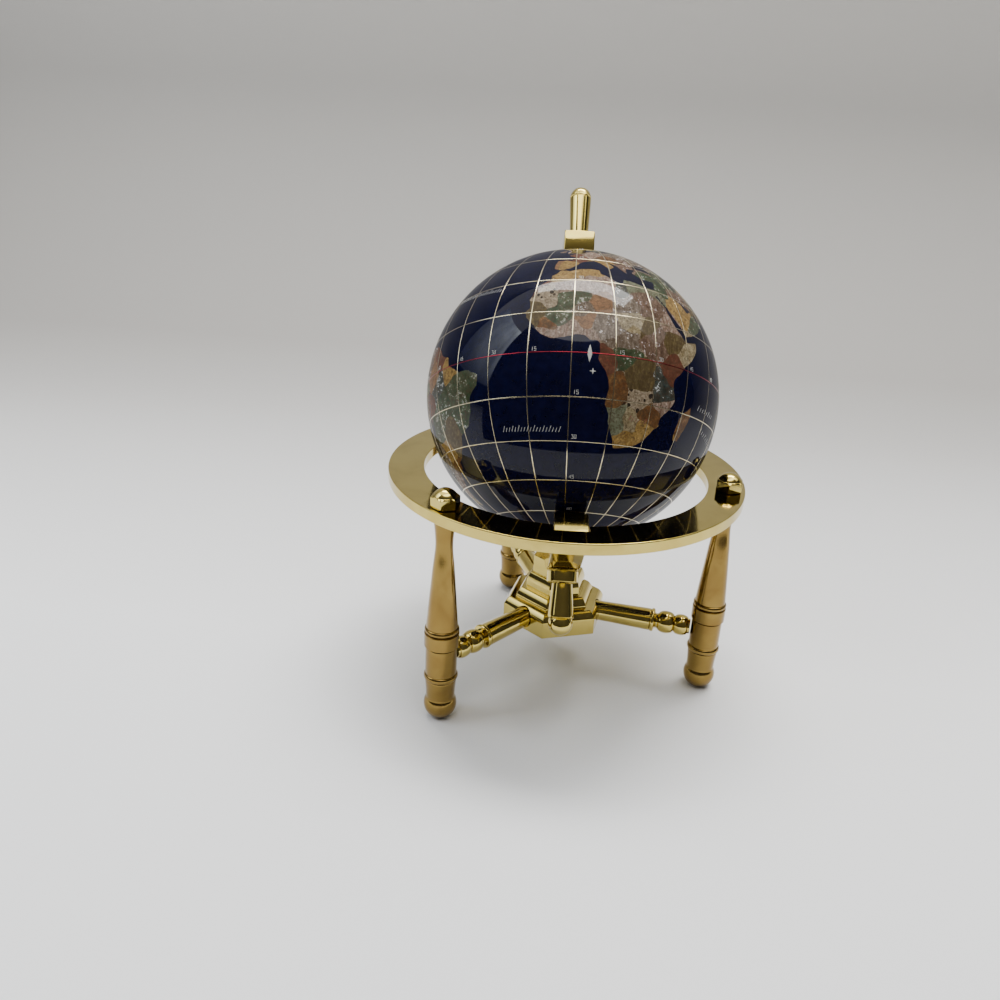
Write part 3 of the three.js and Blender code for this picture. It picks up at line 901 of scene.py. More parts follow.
# %% Knobs
knob_seat = ARM_OUTER + TOUCH
SOCKET_DEPTH = 6
pin_reach = BALL_RADIUS - SOCKET_DEPTH + TOUCH
NORTH_KNOB_LENGTH = 16.3
NORTH_KNOB_RADIUS = 3.45
NORTH_KNOB_FOOT = 2.95
knob_top = knob_seat + NORTH_KNOB_LENGTH
dome_foot = knob_top - NORTH_KNOB_RADIUS
north_outline = ease_corners([
    (0, pin_reach), (PIN_RADIUS, pin_reach), (PIN_RADIUS, knob_seat), (NORTH_KNOB_FOOT, knob_seat),
    (NORTH_KNOB_RADIUS, dome_foot - 0.5), (NORTH_KNOB_RADIUS - 0.25, dome_foot - 0.25),
    (NORTH_KNOB_RADIUS, dome_foot),
], EDGE)
dome_radius = NORTH_KNOB_RADIUS - 0.05
north_outline += arc(0, dome_foot, dome_radius, dome_radius, 91, 180, 28)[:-1]
north_outline += [(0, dome_foot + dome_radius)]
gold_piece("north_finial", turned(north_outline), north_place)

COLLAR_RADIUS, COLLAR_LENGTH = 4.7, 3.5
SOUTH_KNOB_RADIUS = 3.9
SOUTH_KNOB_NECK = 3.1
SOUTH_KNOB_LENGTH = 9.6
SOUTH_KNOB_RIM = 0.7
SOUTH_BALL_RADIUS = 3.75
SOUTH_BALL_PROUD = 0.42
knob_rim = knob_seat + COLLAR_LENGTH + TOUCH + SOUTH_KNOB_LENGTH
end_ball = knob_rim + SOUTH_KNOB_RIM + SOUTH_BALL_RADIUS * SOUTH_BALL_PROUD
ball_foot = math.degrees(math.acos(SOUTH_BALL_PROUD))
south_outline = ease_corners([
    (0, pin_reach), (PIN_RADIUS, pin_reach), (PIN_RADIUS, knob_rim - SOUTH_KNOB_LENGTH),
    (SOUTH_KNOB_NECK, knob_rim - SOUTH_KNOB_LENGTH), (SOUTH_KNOB_NECK, knob_rim - SOUTH_KNOB_LENGTH + 0.6),
    (SOUTH_KNOB_RADIUS, knob_rim), (SOUTH_KNOB_RADIUS, knob_rim + SOUTH_KNOB_RIM),
    (SOUTH_BALL_RADIUS * math.sin(math.radians(ball_foot)), knob_rim + SOUTH_KNOB_RIM),
], EDGE)
south_outline += arc(0, end_ball, SOUTH_BALL_RADIUS, SOUTH_BALL_RADIUS, ball_foot + 1, 180, 32)[:-1]
south_outline += [(0, end_ball + SOUTH_BALL_RADIUS)]
gold_piece("south_finial", turned(south_outline), south_place)


def sleeve(radius, low, high, ease):
    """A short tube round the pin."""
    inner = PIN_RADIUS + TOUCH
    corners = [(inner, low), (radius, low), (radius, high), (inner, high)]
    return turned(ease_corners(corners, ease, closed=True), closed=True)


WASHER_RADIUS, WASHER_LENGTH = 3.0, 1.2
washer_foot = BALL_RADIUS + TOUCH
washer = sleeve(WASHER_RADIUS, washer_foot, washer_foot + WASHER_LENGTH, EDGE)
gold_piece("north_washer", washer, north_place)
gold_piece("south_washer", washer, south_place)
collar = sleeve(COLLAR_RADIUS, knob_seat, knob_seat + COLLAR_LENGTH, EDGE * 2)
gold_piece("south_collar", collar, south_place)
print("knobs reach", round(knob_top, 1), "and", round(end_ball + SOUTH_BALL_RADIUS, 1), "mm from the middle")

# %% [markdown]
# ## The ball
#
# The ball's own Z is the pole line, so its rows of points are parallels and its columns meridians.
# It is not one stone: a dark blue sea with a mosaic of many stones for the land, cut along the
# coasts and roughly along the borders of countries, then ground flush and polished like glass. All
# of it is colour in one smooth surface, so the ball stays one mesh. Each of its points stores how far
# it is from the coast and from the joints between stones, and the shader turns those distances into
# crisp edges that stay sharp however near the camera comes.

# %% Ball surface
SOCKET_END = BALL_RADIUS - SOCKET_DEPTH
BALL_ROWS = 206
BALL_COLUMNS = 420
socket_mouth = math.degrees(math.asin((PIN_RADIUS + TOUCH) / BALL_RADIUS))
ball_outline = [(0, -SOCKET_END), (PIN_RADIUS + TOUCH, -SOCKET_END)]
ball_outline += arc(0, 0, BALL_RADIUS, BALL_RADIUS, socket_mouth, 180 - socket_mouth, BALL_ROWS)
ball_outline += [(PIN_RADIUS + TOUCH, SOCKET_END), (0, SOCKET_END)]
ball = new_solid("globe_ball_finished", turned(ball_outline, BALL_COLUMNS), north_place)

ball_spots = np.empty(len(ball.data.vertices) * 3)
ball.data.vertices.foreach_get("co", ball_spots)
to_ball = np.array(north_place.inverted())
ball_spots = ball_spots.reshape(-1, 3) @ to_ball[:3, :3].T + to_ball[:3, 3]
ball_ways = ball_spots / np.linalg.norm(ball_spots, axis=1)[:, None]
print("ball has", len(ball_ways), "points")

# %% [markdown]
# ## The map
#
# The coasts are the well known ones in round degrees, longitude then latitude, one short string for
# each land. They are coarse, so every point of the ball is nudged a little by noise before it is
# tested against them, which makes the coasts wander as cut stone does. A point is on land if a line
# going east from it crosses the coasts an odd number of times.

# %% Coasts
FIRST_MERIDIAN = math.radians(-4.35)
COASTS = {
    "africa": "-6 36, -2 35, 3 37, 10 37, 11 34, 15 32, 19 30, 20 33, 23 32.5, 29 31, 32.5 31, 34 27,"
        "37 22, 38.5 18, 40 15, 43 12, 45 10.5, 51 12, 50.5 8.5, 48 4.5, 44 1, 41 -2, 39 -5, 39 -8,"
        "40 -11.5, 39 -14, 36.5 -16.5, 35 -18.5, 35 -21, 33 -23, 32 -25, 30 -27.5, 27 -29.5, 22 -31,"
        "18.5 -31, 17.5 -29, 16 -25.5, 14.5 -22.5, 14 -20, 12 -17, 13.5 -12, 13 -9, 12 -6, 9 -2, 9.5 1,"
        "9.5 4, 8.5 5, 6 4.5, 4 6, 1 6, -2 5, -4.5 5, -7.5 4.5, -11 6.5, -13 8.5, -15 11, -17 13, -17.5 15,"
        "-16 17, -17 21, -15.5 24.5, -13 28, -10 30, -9.5 32, -7.5 33.5",
    "europe and asia": "-9 37, -9 43, -2 43, -1 46, -5 48, 2 51, 8 54, 8 57, 10 57, 11 54, 19 55, 21 57,"
        "24 57, 23 59, 30 60, 22 60, 21 61, 25 65, 22 66, 17 62, 19 60, 16 56, 13 55, 11 59, 8 58, 5 59,"
        "5 62, 14 68, 20 70, 26 71, 31 70, 41 67, 33 66, 40 65, 44 68, 54 68, 67 69, 69 73, 73 68, 81 73,"
        "98 76, 104 78, 113 74, 140 73, 160 70, 180 69, 190 66, 178 62, 170 60, 162 56, 157 51, 156 57,"
        "163 61, 142 59, 135 54, 141 53, 140 48, 130 42, 128 39, 129 36, 126 34, 125 38, 121 41, 118 39,"
        "122 37, 119 35, 122 31, 117 24, 110 21, 106 19, 109 13, 105 9, 101 13, 99 10, 103 4, 104 1, 98 8,"
        "97 16, 94 19, 91 23, 87 21, 80 15, 80 10, 77 8, 73 19, 69 22, 67 25, 57 26, 52 28, 48 30, 51 25,"
        "56 26, 60 22, 55 17, 45 13, 43 16, 37 24, 35 28, 34 28, 32.5 30, 32.5 31, 34 31, 36 36, 30 36,"
        "26 39, 29 41, 24 41, 23 37, 19 42, 14 45, 18 40, 16 38, 12 42, 9 44, 3 42, 0 39, -2 37, -6 36",
    "black sea": "28 42, 31 46, 39 47, 37 45, 41 42, 33 42",
    "caspian sea": "47 45, 52 46, 54 37, 50 37",
    "americas": "-168 66, -162 69, -156 71, -141 70, -128 70, -115 68, -95 68, -94 72, -87 68, -82 69,"
        "-81 66, -87 65, -94 61, -94 58, -88 57, -82 55, -80 51, -77 53, -78 58, -77 62, -72 61, -69 59,"
        "-65 60, -62 57, -57 53, -60 50, -66 50, -65 48, -61 46, -66 44, -70 43, -70 41, -74 40, -76 35,"
        "-81 31, -80 26, -82 28, -84 30, -90 29, -97 28, -97 22, -95 18, -90 21, -87 21, -88 16, -83 15,"
        "-83 10, -80 9, -77 8, -75 11, -72 12, -62 11, -57 6, -51 4, -50 0, -44 -3, -40 -3, -35 -6, -35 -9,"
        "-39 -13, -39 -18, -42 -23, -48 -26, -49 -29, -53 -33, -57 -35, -57 -38, -62 -39, -65 -43, -68 -46,"
        "-69 -51, -68 -55, -74 -52, -75 -47, -73 -42, -73 -37, -71 -30, -70 -18, -76 -14, -81 -6, -80 -2,"
        "-77 3, -78 8, -83 8, -86 12, -92 14, -96 16, -105 20, -109 26, -113 31, -110 24, -115 28, -117 33,"
        "-121 35, -124 40, -124 48, -130 54, -135 58, -145 60, -152 59, -158 56, -162 55, -157 58, -162 59,"
        "-166 62, -161 64",
    "greenland": "-43 60, -40 65, -25 70, -20 76, -18 80, -30 83, -50 82, -65 80, -70 77, -58 75, -52 70,"
        "-53 66, -48 61",
    "baffin": "-62 66, -65 62, -72 64, -78 70, -88 73, -80 74, -68 70",
    "ellesmere": "-62 82, -75 79, -88 77, -92 81, -80 83",
    "victoria": "-105 69, -117 70, -125 73, -115 76, -100 74",
    "iceland": "-24 65, -21 66, -15 66, -14 65, -19 63",
    "britain": "-5 50, 1 51, 2 53, -2 56, -3 59, -6 57, -3 54, -5 52",
    "ireland": "-10 52, -6 52, -6 55, -10 54",
    "madagascar": "44 -25, 47 -25, 50 -16, 49 -12, 44 -17",
    "ceylon": "80 6, 82 7, 80 10",
    "australia": "114 -22, 122 -18, 126 -14, 131 -12, 136 -12, 136 -15, 140 -17, 142 -11, 146 -19,"
        "153 -26, 152 -32, 150 -37, 146 -39, 140 -38, 138 -34, 135 -35, 131 -31, 124 -33, 115 -34, 113 -26",
    "tasmania": "145 -41, 148 -41, 147 -43",
    "new zealand north": "173 -35, 178 -38, 175 -41, 174 -39",
    "new zealand south": "173 -41, 174 -42, 171 -46, 167 -46",
    "new guinea": "131 -1, 138 -2, 147 -6, 150 -10, 143 -9, 138 -8, 133 -4",
    "borneo": "109 1, 113 3, 117 7, 119 5, 117 1, 116 -4, 111 -3",
    "sumatra": "95 6, 104 0, 106 -6, 102 -5",
    "java": "105 -6, 114 -7, 114 -9, 106 -7",
    "celebes": "119 -5, 120 1, 125 1, 121 -1, 123 -5",
    "philippines": "120 18, 122 18, 126 8, 125 6, 122 8, 121 14",
    "japan": "130 32, 135 34, 140 35, 142 40, 145 44, 142 45, 140 41, 137 37, 131 34",
    "cuba": "-85 22, -80 23, -74 20, -78 20",
    "hispaniola": "-74 18, -72 20, -68 19, -71 18",
    "spitsbergen": "11 79, 20 80, 25 80, 17 77",
    "novaya": "52 71, 57 74, 68 77, 58 71",
    "antarctica": "-180 -78, -150 -77, -130 -74, -100 -73, -75 -72, -58 -63, -62 -74, -40 -78, -20 -73,"
        "0 -70, 30 -69, 55 -66, 80 -68, 110 -66, 140 -67, 165 -71, 165 -78, 180 -78, 180 -90, -180 -90",
}


def pairs(text):
    return [tuple(float(n) for n in pair.split()) for pair in text.split(",")]


def way(longitude, latitude):
    """The direction from the ball's middle to a place on the map, along the ball's own axes."""
    lon = np.radians(longitude) + FIRST_MERIDIAN
    lat = np.radians(latitude)
    return np.stack([np.cos(lat) * np.cos(lon), np.cos(lat) * np.sin(lon), np.sin(lat)], axis=-1)


# Unseeded, this noise is shifted by a new random amount in each run.
noise.seed_set(4)


def nudge(ways, grain, amount):
    """Moves each direction a little by smooth noise."""
    moved = np.array([noise.noise_vector(Vector(w) * grain) for w in ways.tolist()])
    moved = ways + amount * moved
    return moved / np.linalg.norm(moved, axis=1)[:, None]


print(len(COASTS), "coasts of", sum(len(pairs(text)) for text in COASTS.values()), "points")

# %% Distance to the coast
COAST_NUDGE = 0.013
# The cosine of how near a piece of coast has to be to count, and the greatest distance kept, in mm.
NEAR_ENOUGH = 0.97
FAR_FROM_COAST = 8.0
coast_ways = nudge(nudge(ball_ways, 9.0, COAST_NUDGE), 26.0, COAST_NUDGE * 0.45)
coast_lon = np.degrees(np.arctan2(coast_ways[:, 1], coast_ways[:, 0]) - FIRST_MERIDIAN)
coast_lon = (coast_lon + 180) % 360 - 180
coast_lat = np.degrees(np.arcsin(np.clip(coast_ways[:, 2], -1, 1)))

on_land = np.zeros(len(ball_ways), bool)
from_coast = np.full(len(ball_ways), FAR_FROM_COAST)
for text in COASTS.values():
    corners = pairs(text)
    for (lon_a, lat_a), (lon_b, lat_b) in zip(corners, corners[1:] + corners[:1]):
        between = (coast_lat >= min(lat_a, lat_b)) & (coast_lat < max(lat_a, lat_b))
        if lat_a != lat_b:
            crossing = lon_a + (coast_lat - lat_a) * (lon_b - lon_a) / (lat_b - lat_a)
            for lap in (0, 360):
                on_land ^= between & (coast_lon + lap < crossing)
        # The map's own cut at its edge is no coast.
        if abs(lon_a) == 180 == abs(lon_b) or lat_a == -90:
            continue
        pieces_of_edge = max(1, round(math.hypot(lon_b - lon_a, lat_b - lat_a) / 5))
        for step in range(pieces_of_edge):
            low, high = step / pieces_of_edge, (step + 1) / pieces_of_edge
            start = way(lon_a + (lon_b - lon_a) * low, lat_a + (lat_b - lat_a) * low)
            reach = way(lon_a + (lon_b - lon_a) * high, lat_a + (lat_b - lat_a) * high) - start
            near = coast_ways @ start > NEAR_ENOUGH
            offset = coast_ways[near] - start
            share = np.clip(offset @ reach / (reach @ reach), 0, 1)
            gap = np.linalg.norm(offset - share[:, None] * reach, axis=1)
            from_coast[near] = np.minimum(from_coast[near], gap)
from_coast = np.minimum(from_coast * BALL_RADIUS, FAR_FROM_COAST)
land = np.where(on_land, from_coast, -from_coast)
print("land covers", round(100 * float(np.mean(land > 0))), "% of the points")

# %% [markdown]
# ## The stones
#
# Each kind of stone has the places where it was laid, again in round degrees. A point of the land
# belongs to the nearest place, which gives many-sided pieces like countries, and the same nudge keeps
# their joints from being straight. For each kind the ball stores by how much it wins or loses there.

# %% Where each stone lies
STONES = {
    "spotted": "-9 24, 27 -14, -103 41, 78 26, 137 -24, 92 61",
    "rust": "-13 28, 39 -1, -58 5, 1 47, 104 36, -70 -12, 120 -29, 48 57, -88 62, 12 -1",
    "moss": "-1 22, -5 13, 55 18, -46 -9, -64 -20, 108 57, 145 -21, -92 34, 20 60, 47 40, 141 62, -112 48",
    "pearl": "-2 28, 6 29, 14 30, -9 6, 0 7, 6 6, 37 14, 8 50, 71 50, 128 -17, -95 64, -66 -44, 38 -14,"
        "104 15",
    "brown": "9 21, 28 64, -8 40, 82 64, -63 1, 134 -31, -99 24, 122 45, 5 13, -73 46",
    "fir": "-40 -19, 19 -1, 122 62, -78 56, 147 -33, 37 34, -55 -13, 66 66, 101 25",
    "honey": "3 34, -4 32, 10 34, 46 23, 25 -31, 20 -29, -45 70, -4 39, -19 65, 88 45, 30 -24, -50 -2,"
        "156 64, -118 60, 102 69, 41 -21, 14 42, 80 17, -62 -31, 118 28, 143 38",
    "lilac": "12 11, 20 22, 18 6, 35 48, 60 60, -83 41, 95 50, -70 -33, 142 -7, 20 52, 4 16",
    "plum": "29 18, 27 25, 31 8, 52 33, -105 53, 111 66, 133 66, -73 5, -9 53, 24 44",
    "olive": "-12 13, 38 9, 23 -4, 27 -8, 62 28, -110 34, -55 -25, 76 60, 113 -1, -1 53, 28 13, -136 63,"
        "15 64",
    "cream": "23 -22, 46 5, 50 10, 21 14, 62 40, -122 66, 40 61, -68 -51, 115 -25, -47 77, 73 34, 0 -80",
    "slate": "34 -7, 19 28, 90 33, 138 70, -74 62, 78 72, -152 65, 100 1, -58 -6, 90 -75, 36 -10",
    "ember": "16 -11, 14 -15, 31 -19, 46 -19, -86 49, 66 44, 16 48, 120 -35, -60 -37, 137 50, -8 10,"
        "-90 -77",
    "sage": "17 -23, 15 -19, 25 30, 31 29, 55 66, -104 68, 22 67, 110 47, -75 -1, 152 -5, 170 68, 124 36",
}
STONE_NUDGE = 0.055
stone_ways = nudge(nudge(ball_ways, 5.0, STONE_NUDGE), 17.0, STONE_NUDGE * 0.35)
nearest = {}
for stone, text in STONES.items():
    seeds = np.array([way(*place) for place in pairs(text)])
    nearest[stone] = np.sqrt(np.maximum(2 - 2 * (stone_ways @ seeds.T), 0)) * BALL_RADIUS
every_seed = np.sort(np.concatenate(list(nearest.values()), axis=1), axis=1)
joint = every_seed[:, 1] - every_seed[:, 0]
stone_lead = {}
for stone in STONES:
    own = nearest[stone].min(axis=1)
    others = np.min([nearest[other].min(axis=1) for other in STONES if other != stone], axis=0)
    stone_lead[stone] = np.clip(others - own, -4, 4)


def store(mesh, name, values):
    kept = mesh.attributes.new(name, "FLOAT", "POINT")
    kept.data.foreach_set("value", values.astype(np.float32))


store(ball.data, "land", land)
store(ball.data, "joint", joint)
for stone, lead in stone_lead.items():
    store(ball.data, stone, lead)
print(len(STONES), "kinds of stone in", every_seed.shape[1], "places")

# %% [markdown]
# ## The stone finish
#
# Fourteen stones in one shader would be slow if each had its own textures, so they share five: soft
# clouds, fine grain, veins, fibres and dark spots. Each stone turns the same clouds or fibres into
# its own two colours, and some add veins, spots or pale flecks. A thin dark line marks the joints.
# Over everything is one thin clear polish, which is what gives the sharp reflections.

# %% Stone textures
stone, stone_tree, stone_shader = new_material(
    "polished_stone", Specular_IOR_Level=0.0, Coat_Weight=0.38, Coat_Roughness=0.02, Coat_IOR=1.5)
stone_place = own_place(stone_tree)


def stored(name):
    return node(stone_tree, "ShaderNodeAttribute", attribute_name=name).outputs["Fac"]


def soft_noise(per_mm, detail, distortion=0.0, place=stone_place):
    return span(stone_tree, noise_node(stone_tree, place, per_mm / MM, detail, distortion), 0.32, 0.68)


def stretched(turn, scale):
    """The place on the stone, turned and stretched, so that what is drawn there runs one way."""
    return node(stone_tree, "ShaderNodeMapping", {
        "Vector": stone_place, "Rotation": turn, "Scale": scale}).outputs[0]


clouds = soft_noise(0.42, 4.0, 0.6)
grain = soft_noise(1.7, 3.0)
veins = soft_noise(0.75, 4.0, 1.2, stretched((0.5, 0.3, 0.9), (0.35, 1.6, 1.0)))
fibres = soft_noise(1.5, 3.0, 0.4, stretched((0.1, 0.15, 0.0), (1.0, 1.0, 0.22)))
spot_cells = node(stone_tree, "ShaderNodeTexVoronoi", {
    "Vector": stretched((0.2, 0.6, 0.3), (0.8, 1.25, 1.0)), "Scale": 0.62 / MM, "Randomness": 0.95}).outputs
spot_luck = node(stone_tree, "ShaderNodeSeparateColor", {0: spot_cells["Color"]}).outputs[0]
spot_size = span(stone_tree, spot_luck, 0.0, 1.0, 0.02, 0.60)
spots = math_node(stone_tree, "LESS_THAN", spot_cells["Distance"], spot_size)
flecks = math_node(stone_tree, "GREATER_THAN", math_node(stone_tree, "MULTIPLY", grain, clouds), 0.52)
print("shared stone textures ready")

# %% Stone colours
STONE_COLORS = {
    "spotted": ((0.24, 0.185, 0.12), (0.37, 0.30, 0.21)),
    "rust": ((0.07, 0.022, 0.014), (0.17, 0.065, 0.04)),
    "moss": ((0.022, 0.042, 0.022), (0.105, 0.12, 0.072)),
    "pearl": ((0.15, 0.085, 0.06), (0.42, 0.33, 0.26)),
    "brown": ((0.17, 0.085, 0.04), (0.25, 0.13, 0.06)),
    "fir": ((0.012, 0.03, 0.014), (0.07, 0.11, 0.055)),
    "honey": ((0.22, 0.13, 0.035), (0.40, 0.26, 0.09)),
    "lilac": ((0.08, 0.058, 0.042), (0.25, 0.20, 0.155)),
    "plum": ((0.07, 0.040, 0.028), (0.22, 0.145, 0.105)),
    "olive": ((0.06, 0.045, 0.016), (0.19, 0.145, 0.065)),
    "cream": ((0.20, 0.155, 0.08), (0.38, 0.32, 0.20)),
    "slate": ((0.014, 0.022, 0.020), (0.085, 0.10, 0.09)),
    "ember": ((0.10, 0.043, 0.014), (0.27, 0.145, 0.055)),
    "sage": ((0.085, 0.095, 0.055), (0.19, 0.20, 0.13)),
}
# What each stone adds on top of its two colours: a mask and the colour that the mask brings.
soft_veins = math_node(stone_tree, "MULTIPLY", veins, 0.75)
STONE_EXTRAS = {
    "spotted": (spots, (0.012, 0.011, 0.010)),
    "moss": (flecks, (0.33, 0.33, 0.27)),
    "fir": (flecks, (0.40, 0.42, 0.36)),
    "slate": (flecks, (0.50, 0.52, 0.50)),
    "ember": (soft_veins, (0.07, 0.025, 0.012)),
    "olive": (soft_veins, (0.05, 0.032, 0.014)),
    "plum": (flecks, (0.46, 0.38, 0.36)),
    "lilac": (flecks, (0.52, 0.47, 0.44)),
}
FIBROUS = ("pearl", "plum", "olive", "lilac")
grain_share = math_node(stone_tree, "MULTIPLY", grain, 0.62)
land_color = None
for name, (dark_side, light_side) in STONE_COLORS.items():
    main_pattern = fibres if name in FIBROUS else clouds
    color = blend_colors(stone_tree, main_pattern, (*dark_side, 1), (*light_side, 1))
    color = blend_colors(stone_tree, grain_share, color, (*dark_side, 1))
    if name in STONE_EXTRAS:
        extra_mask, extra_color = STONE_EXTRAS[name]
        color = blend_colors(stone_tree, extra_mask, color, (*extra_color, 1))
    if land_color is None:
        land_color = color
    else:
        land_color = blend_colors(stone_tree, span(stone_tree, stored(name), -0.03, 0.03), land_color, color)

# Real stone is never even: brown clouding runs through all of the kinds.
mottle = span(stone_tree, soft_noise(1.1, 6.0, 1.2), 0.08, 1.0, 0.0, 0.84)
land_color = blend_colors(stone_tree, mottle, land_color, (0.050, 0.034, 0.020, 1))
joint_line = span(stone_tree, stored("joint"), 0.04, 0.16)
land_color = blend_colors(stone_tree, joint_line, (0.02, 0.014, 0.01, 1), land_color)
sea_color = blend_colors(stone_tree, clouds, (0.0014, 0.0018, 0.011, 1), (0.0026, 0.0032, 0.019, 1))
is_land = span(stone_tree, stored("land"), -0.03, 0.05)
stone_color = blend_colors(stone_tree, is_land, sea_color, land_color)
stone_marks = add_marks(stone_tree, stone_place, 0.18, 0.06)
stone_rough = math_node(stone_tree, "MULTIPLY_ADD", stone_marks["Smudges"], 0.06, 0.16)
stone_rough = math_node(stone_tree, "MULTIPLY_ADD", grain, 0.04, stone_rough)
feed(stone_tree, stone_shader, Base_Color=stone_color, Roughness=stone_rough)
stone_relief = math_node(stone_tree, "MULTIPLY_ADD", stone_marks["Height"], 0.5, joint_line)
add_bump(stone_tree, stone_shader, stone_relief, 0.05, 0.02 * MM)

finish_piece(ball, north_place, stone, "globe")
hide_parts("globe_ball")
print("stone finish with", len(stone_tree.nodes), "nodes")

# %% [markdown]
# ## The wires
#
# The map's grid is thin brass wire laid in saw cuts, then ground flush with the stone. Each line is
# modelled as a narrow ribbon with a slightly crowned top, set into the ball so that only a few
# hundredths of a millimetre stand proud. There is one every fifteen degrees, and the equator is red.

# %% Wire finishes
def wire_finish(name, bright, worn):
    material, tree, shader = new_material(name, Metallic=1.0)
    marks = add_marks(tree, own_place(tree), 0.3, 0.25)
    rough = math_node(tree, "MULTIPLY_ADD", marks["Smudges"], 0.08, 0.10)
    feed(tree, shader, Base_Color=blend_colors(tree, marks["Smudges"], bright, worn), Roughness=rough)
    add_bump(tree, shader, marks["Height"], 0.1, 0.02 * MM)
    return material


brass_wire = wire_finish("inlay_wire", (0.62, 0.55, 0.36, 1), (0.50, 0.43, 0.28, 1))
red_wire = wire_finish("red_inlay_wire", (0.30, 0.025, 0.04, 1), (0.19, 0.015, 0.028, 1))
print("wire finishes ready")

# %% Wires
WIRE_WIDTH = 0.25
WIRE_PROUD = 0.03
WIRE_SUNK = 0.12
GRID_STEP = 15
# The section of a wire: how far across, as a share of its width, and how far out from the ball.
wire_section = [(-0.5, -WIRE_SUNK), (0.5, -WIRE_SUNK), (0.5, 0.0),
                (0.25, WIRE_PROUD), (-0.25, WIRE_PROUD), (-0.5, 0.0)]


def ribbon(line, width, closed):
    """A thin ribbon on the ball along some directions. The width is one number, or one for each."""
    points, faces = [], []
    count = len(line)
    widths = np.broadcast_to(width, count)
    for i, out in enumerate(line):
        back = line[i - 1] if closed or i else line[0]
        on = line[(i + 1) % count] if closed or i < count - 1 else line[-1]
        side = np.cross(out, on - back)
        side /= np.linalg.norm(side)
        for across, rise in wire_section:
            points.append(tuple((out * (BALL_RADIUS + rise) + side * across * widths[i]) * MM))
    size = len(wire_section)
    for i in range(count if closed else count - 1):
        base, after = i * size, (i + 1) % count * size
        for k in range(size):
            on = (k + 1) % size
            faces.append((base + k, after + k, after + on, base + on))
    if not closed:
        faces.append(list(range(size)))
        faces.append([(count - 1) * size + k for k in range(size)][::-1])
    return points, faces


def together(shapes):
    points, faces = [], []
    for more_points, more_faces in shapes:
        faces += [[k + len(points) for k in face] for face in more_faces]
        points += more_points
    return points, faces


def wire_piece(name, shapes, material):
    made = new_solid(name, together(shapes), north_place)
    finish_piece(made, north_place, material, "globe", 60)


# The meridians end under the rims of the washers.
polar_gap = math.degrees(0.8 * WASHER_RADIUS / BALL_RADIUS)
meridian_lines = []
for lon in range(-180, 180, GRID_STEP):
    lats = np.linspace(-90 + polar_gap, 90 - polar_gap, 100)
    meridian_lines.append(ribbon(way(np.full(len(lats), lon), lats), WIRE_WIDTH, False))
parallel_lines = []
for lat in range(GRID_STEP - 90, 90, GRID_STEP):
    lons = np.linspace(-180, 180, 181)[:-1]
    line = ribbon(way(lons, np.full(len(lons), lat)), WIRE_WIDTH, True)
    if lat:
        parallel_lines.append(line)
    else:
        wire_piece("equator_wire", [line], red_wire)
wire_piece("meridian_wires", meridian_lines, brass_wire)
wire_piece("parallel_wires", parallel_lines, brass_wire)
print(len(meridian_lines), "meridians and", len(parallel_lines), "parallels")

# %% [markdown]
# ## The marks on the map
#
# The real ball has small pale names, numbers and a compass kite set into the stone. The names become
# rows of short slanted strokes that spell nothing, and the numbers of the grid stay numbers. Every
# stroke is the same kind of ribbon as the wires, only finer, so it follows the ball's surface.

# %% Mark tools
STROKE_WIDTH = 0.13
# Each digit is one line through points of a grid that is one wide and two tall.
DIGITS = {
    "1": "0.5 0, 0.5 2",
    "2": "0 2, 1 2, 1 1, 0 1, 0 0, 1 0",
    "3": "0 2, 1 2, 0.4 1.1, 1 1, 1 0, 0 0",
    "4": "0.8 0, 0.8 2, 0 0.7, 1 0.7",
    "5": "1 2, 0 2, 0 1.1, 1 1.1, 1 0, 0 0",
    "6": "1 2, 0 1.5, 0 0, 1 0, 1 1, 0 1",
    "7": "0 2, 1 2, 0.3 0",
    "9": "1 1, 0 1, 0 2, 1 2, 1 0.4, 0.2 0",
    "0": "0 0, 1 0, 1 2, 0 2, 0 0",
}


def on_map(lon, lat, points, width=STROKE_WIDTH):
    """A ribbon through points given in degrees to the east and north of one place."""
    path = []
    for (x0, y0), (x1, y1) in zip(points, points[1:]):
        steps = max(1, round(math.hypot(x1 - x0, y1 - y0) / 1.2))
        path += [(x0 + (x1 - x0) * i / steps, y0 + (y1 - y0) * i / steps) for i in range(steps)]
    path.append(points[-1])
    shrink = math.cos(math.radians(lat))
    east, north = np.array(path).T
    return ribbon(way(lon + east / shrink, lat + north), width, False)


def number(lon, lat, text, tall=1.3):
    unit = tall / 2
    return [on_map(lon, lat, [((x + 1.5 * i) * unit, y * unit) for x, y in pairs(DIGITS[digit])])
            for i, digit in enumerate(text)]


def stroke_row(start, end, count, tall, slant=0.35):
    """Short strokes along a line on the map. Their heights follow a fixed uneven beat."""
    strokes = []
    shrink = math.cos(math.radians(start[1]))
    along = Vector(((end[0] - start[0]) * shrink, end[1] - start[1]))
    ahead_way = along.normalized()
    up_way = Vector((-ahead_way.y, ahead_way.x))
    for i in range(count):
        foot = along * (i / count)
        reach = tall * (1.0, 0.7, 0.72, 0.95, 0.7)[i % 5]
        top = foot + up_way * reach + ahead_way * reach * slant
        strokes.append(on_map(*start, [tuple(foot), tuple(top)]))
    return strokes


def kite(lon, low, high, wide):
    """A long thin diamond that stands on its point."""
    across = np.linspace(-1, 1, 13)
    widths = wide * (1 - np.abs(across) ** 1.2) + 0.02
    return ribbon(way(np.full(13, lon), np.linspace(low, high, 13)), widths, False)


print("a number of two digits takes", sum(len(shape[0]) for shape in number(0, 0, "15")), "points")

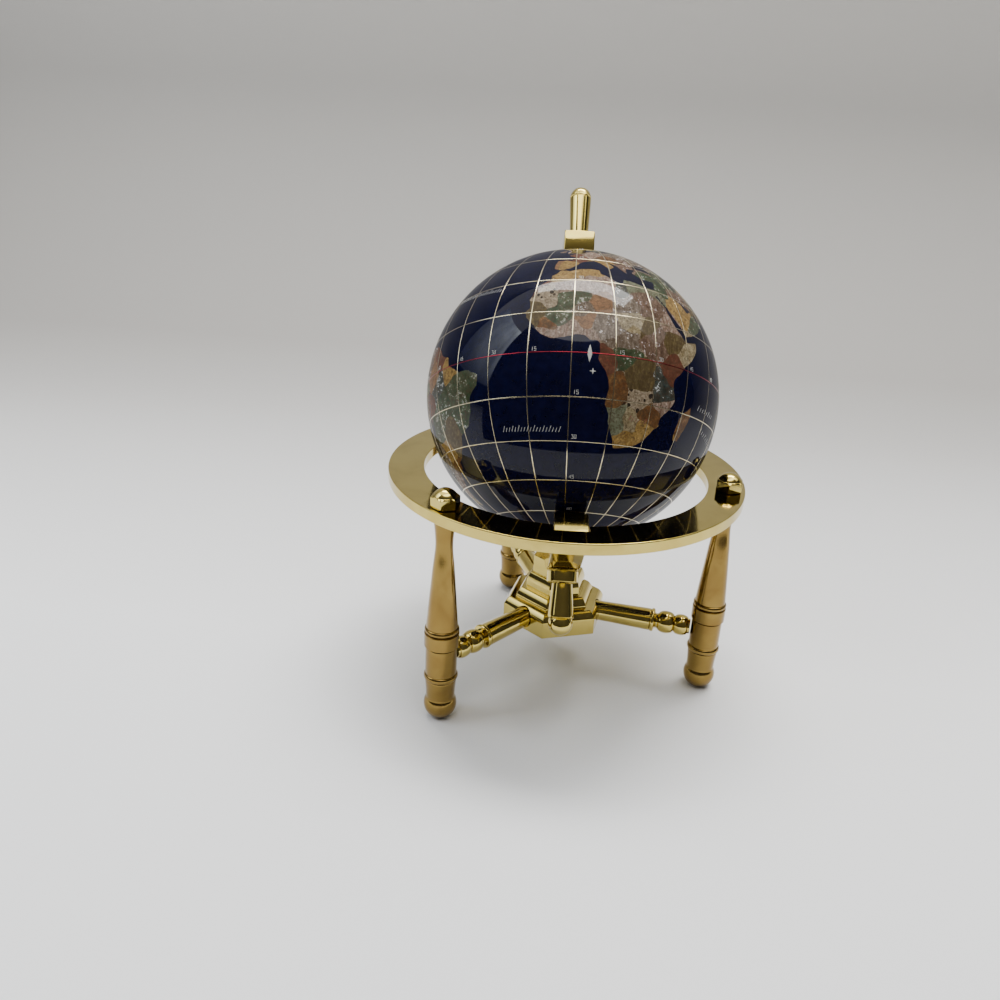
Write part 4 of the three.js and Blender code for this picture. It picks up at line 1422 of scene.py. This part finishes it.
# %% Marks
def paint_finish(name, fresh, worn):
    material, tree, shader = new_material(name, Specular_IOR_Level=0.3, Coat_Weight=0.6)
    marks = add_marks(tree, own_place(tree), 0.4, 0.5)
    rough = span(tree, marks["Scratches"], 0.0, 1.0, 0.3, 0.45)
    feed(tree, shader, Base_Color=blend_colors(tree, marks["Smudges"], fresh, worn), Roughness=rough)
    return material


paint = paint_finish("pale_inlay_paint", (0.50, 0.50, 0.46, 1), (0.33, 0.33, 0.31, 1))
red_paint = paint_finish("red_inlay_paint", (0.16, 0.012, 0.02, 1), (0.09, 0.008, 0.014, 1))

number_shapes = []
for lon in range(-90, 91, GRID_STEP):
    if lon:
        number_shapes += number(lon + 1.3, 0.6, str(abs(lon)))
for lat in range(-75, 76, GRID_STEP):
    if lat:
        number_shapes += number(1.3, lat + 1.0, str(abs(lat)))
wire_piece("grid_numbers", number_shapes, paint)

# Each row of strokes has its two ends on the map, how many strokes it has and how tall they are.
NAME_ROWS = (
    ((-25.6, -26.6), (-2.3, -27.0), 19, 2.1),
    ((-58.8, 28.8), (-30.2, 26.8), 20, 2.0),
    ((53.7, -12.2), (68.3, -12.4), 8, 2.0),
    ((59.6, -19.0), (84.0, -23.4), 12, 2.0),
    ((-150.0, 12.0), (-118.0, 12.0), 14, 2.0),
    ((-140.0, -30.0), (-104.0, -31.0), 15, 2.0),
    ((72.0, -52.0), (112.0, -53.0), 14, 1.8),
)
name_shapes = [stroke for row in NAME_ROWS for stroke in stroke_row(*row)]
wire_piece("name_strokes", name_shapes, paint)

wire_piece("compass_kite", [kite(6.1, -3.2, 3.0, 1.25)], paint)
star_lon, star_lat = 7.4, -6.1
star_shapes = [kite(star_lon, star_lat - 1.1, star_lat + 1.1, 0.45)]
star_shapes.append(on_map(star_lon, star_lat, [(-1.0, 0), (1.0, 0)], 0.22))
wire_piece("compass_star", star_shapes, paint)
wire_piece("red_strokes", stroke_row((22.1, -21.2), (29.7, -21.6), 6, 1.9), red_paint)
print(len(number_shapes) + len(name_shapes), "strokes in all")
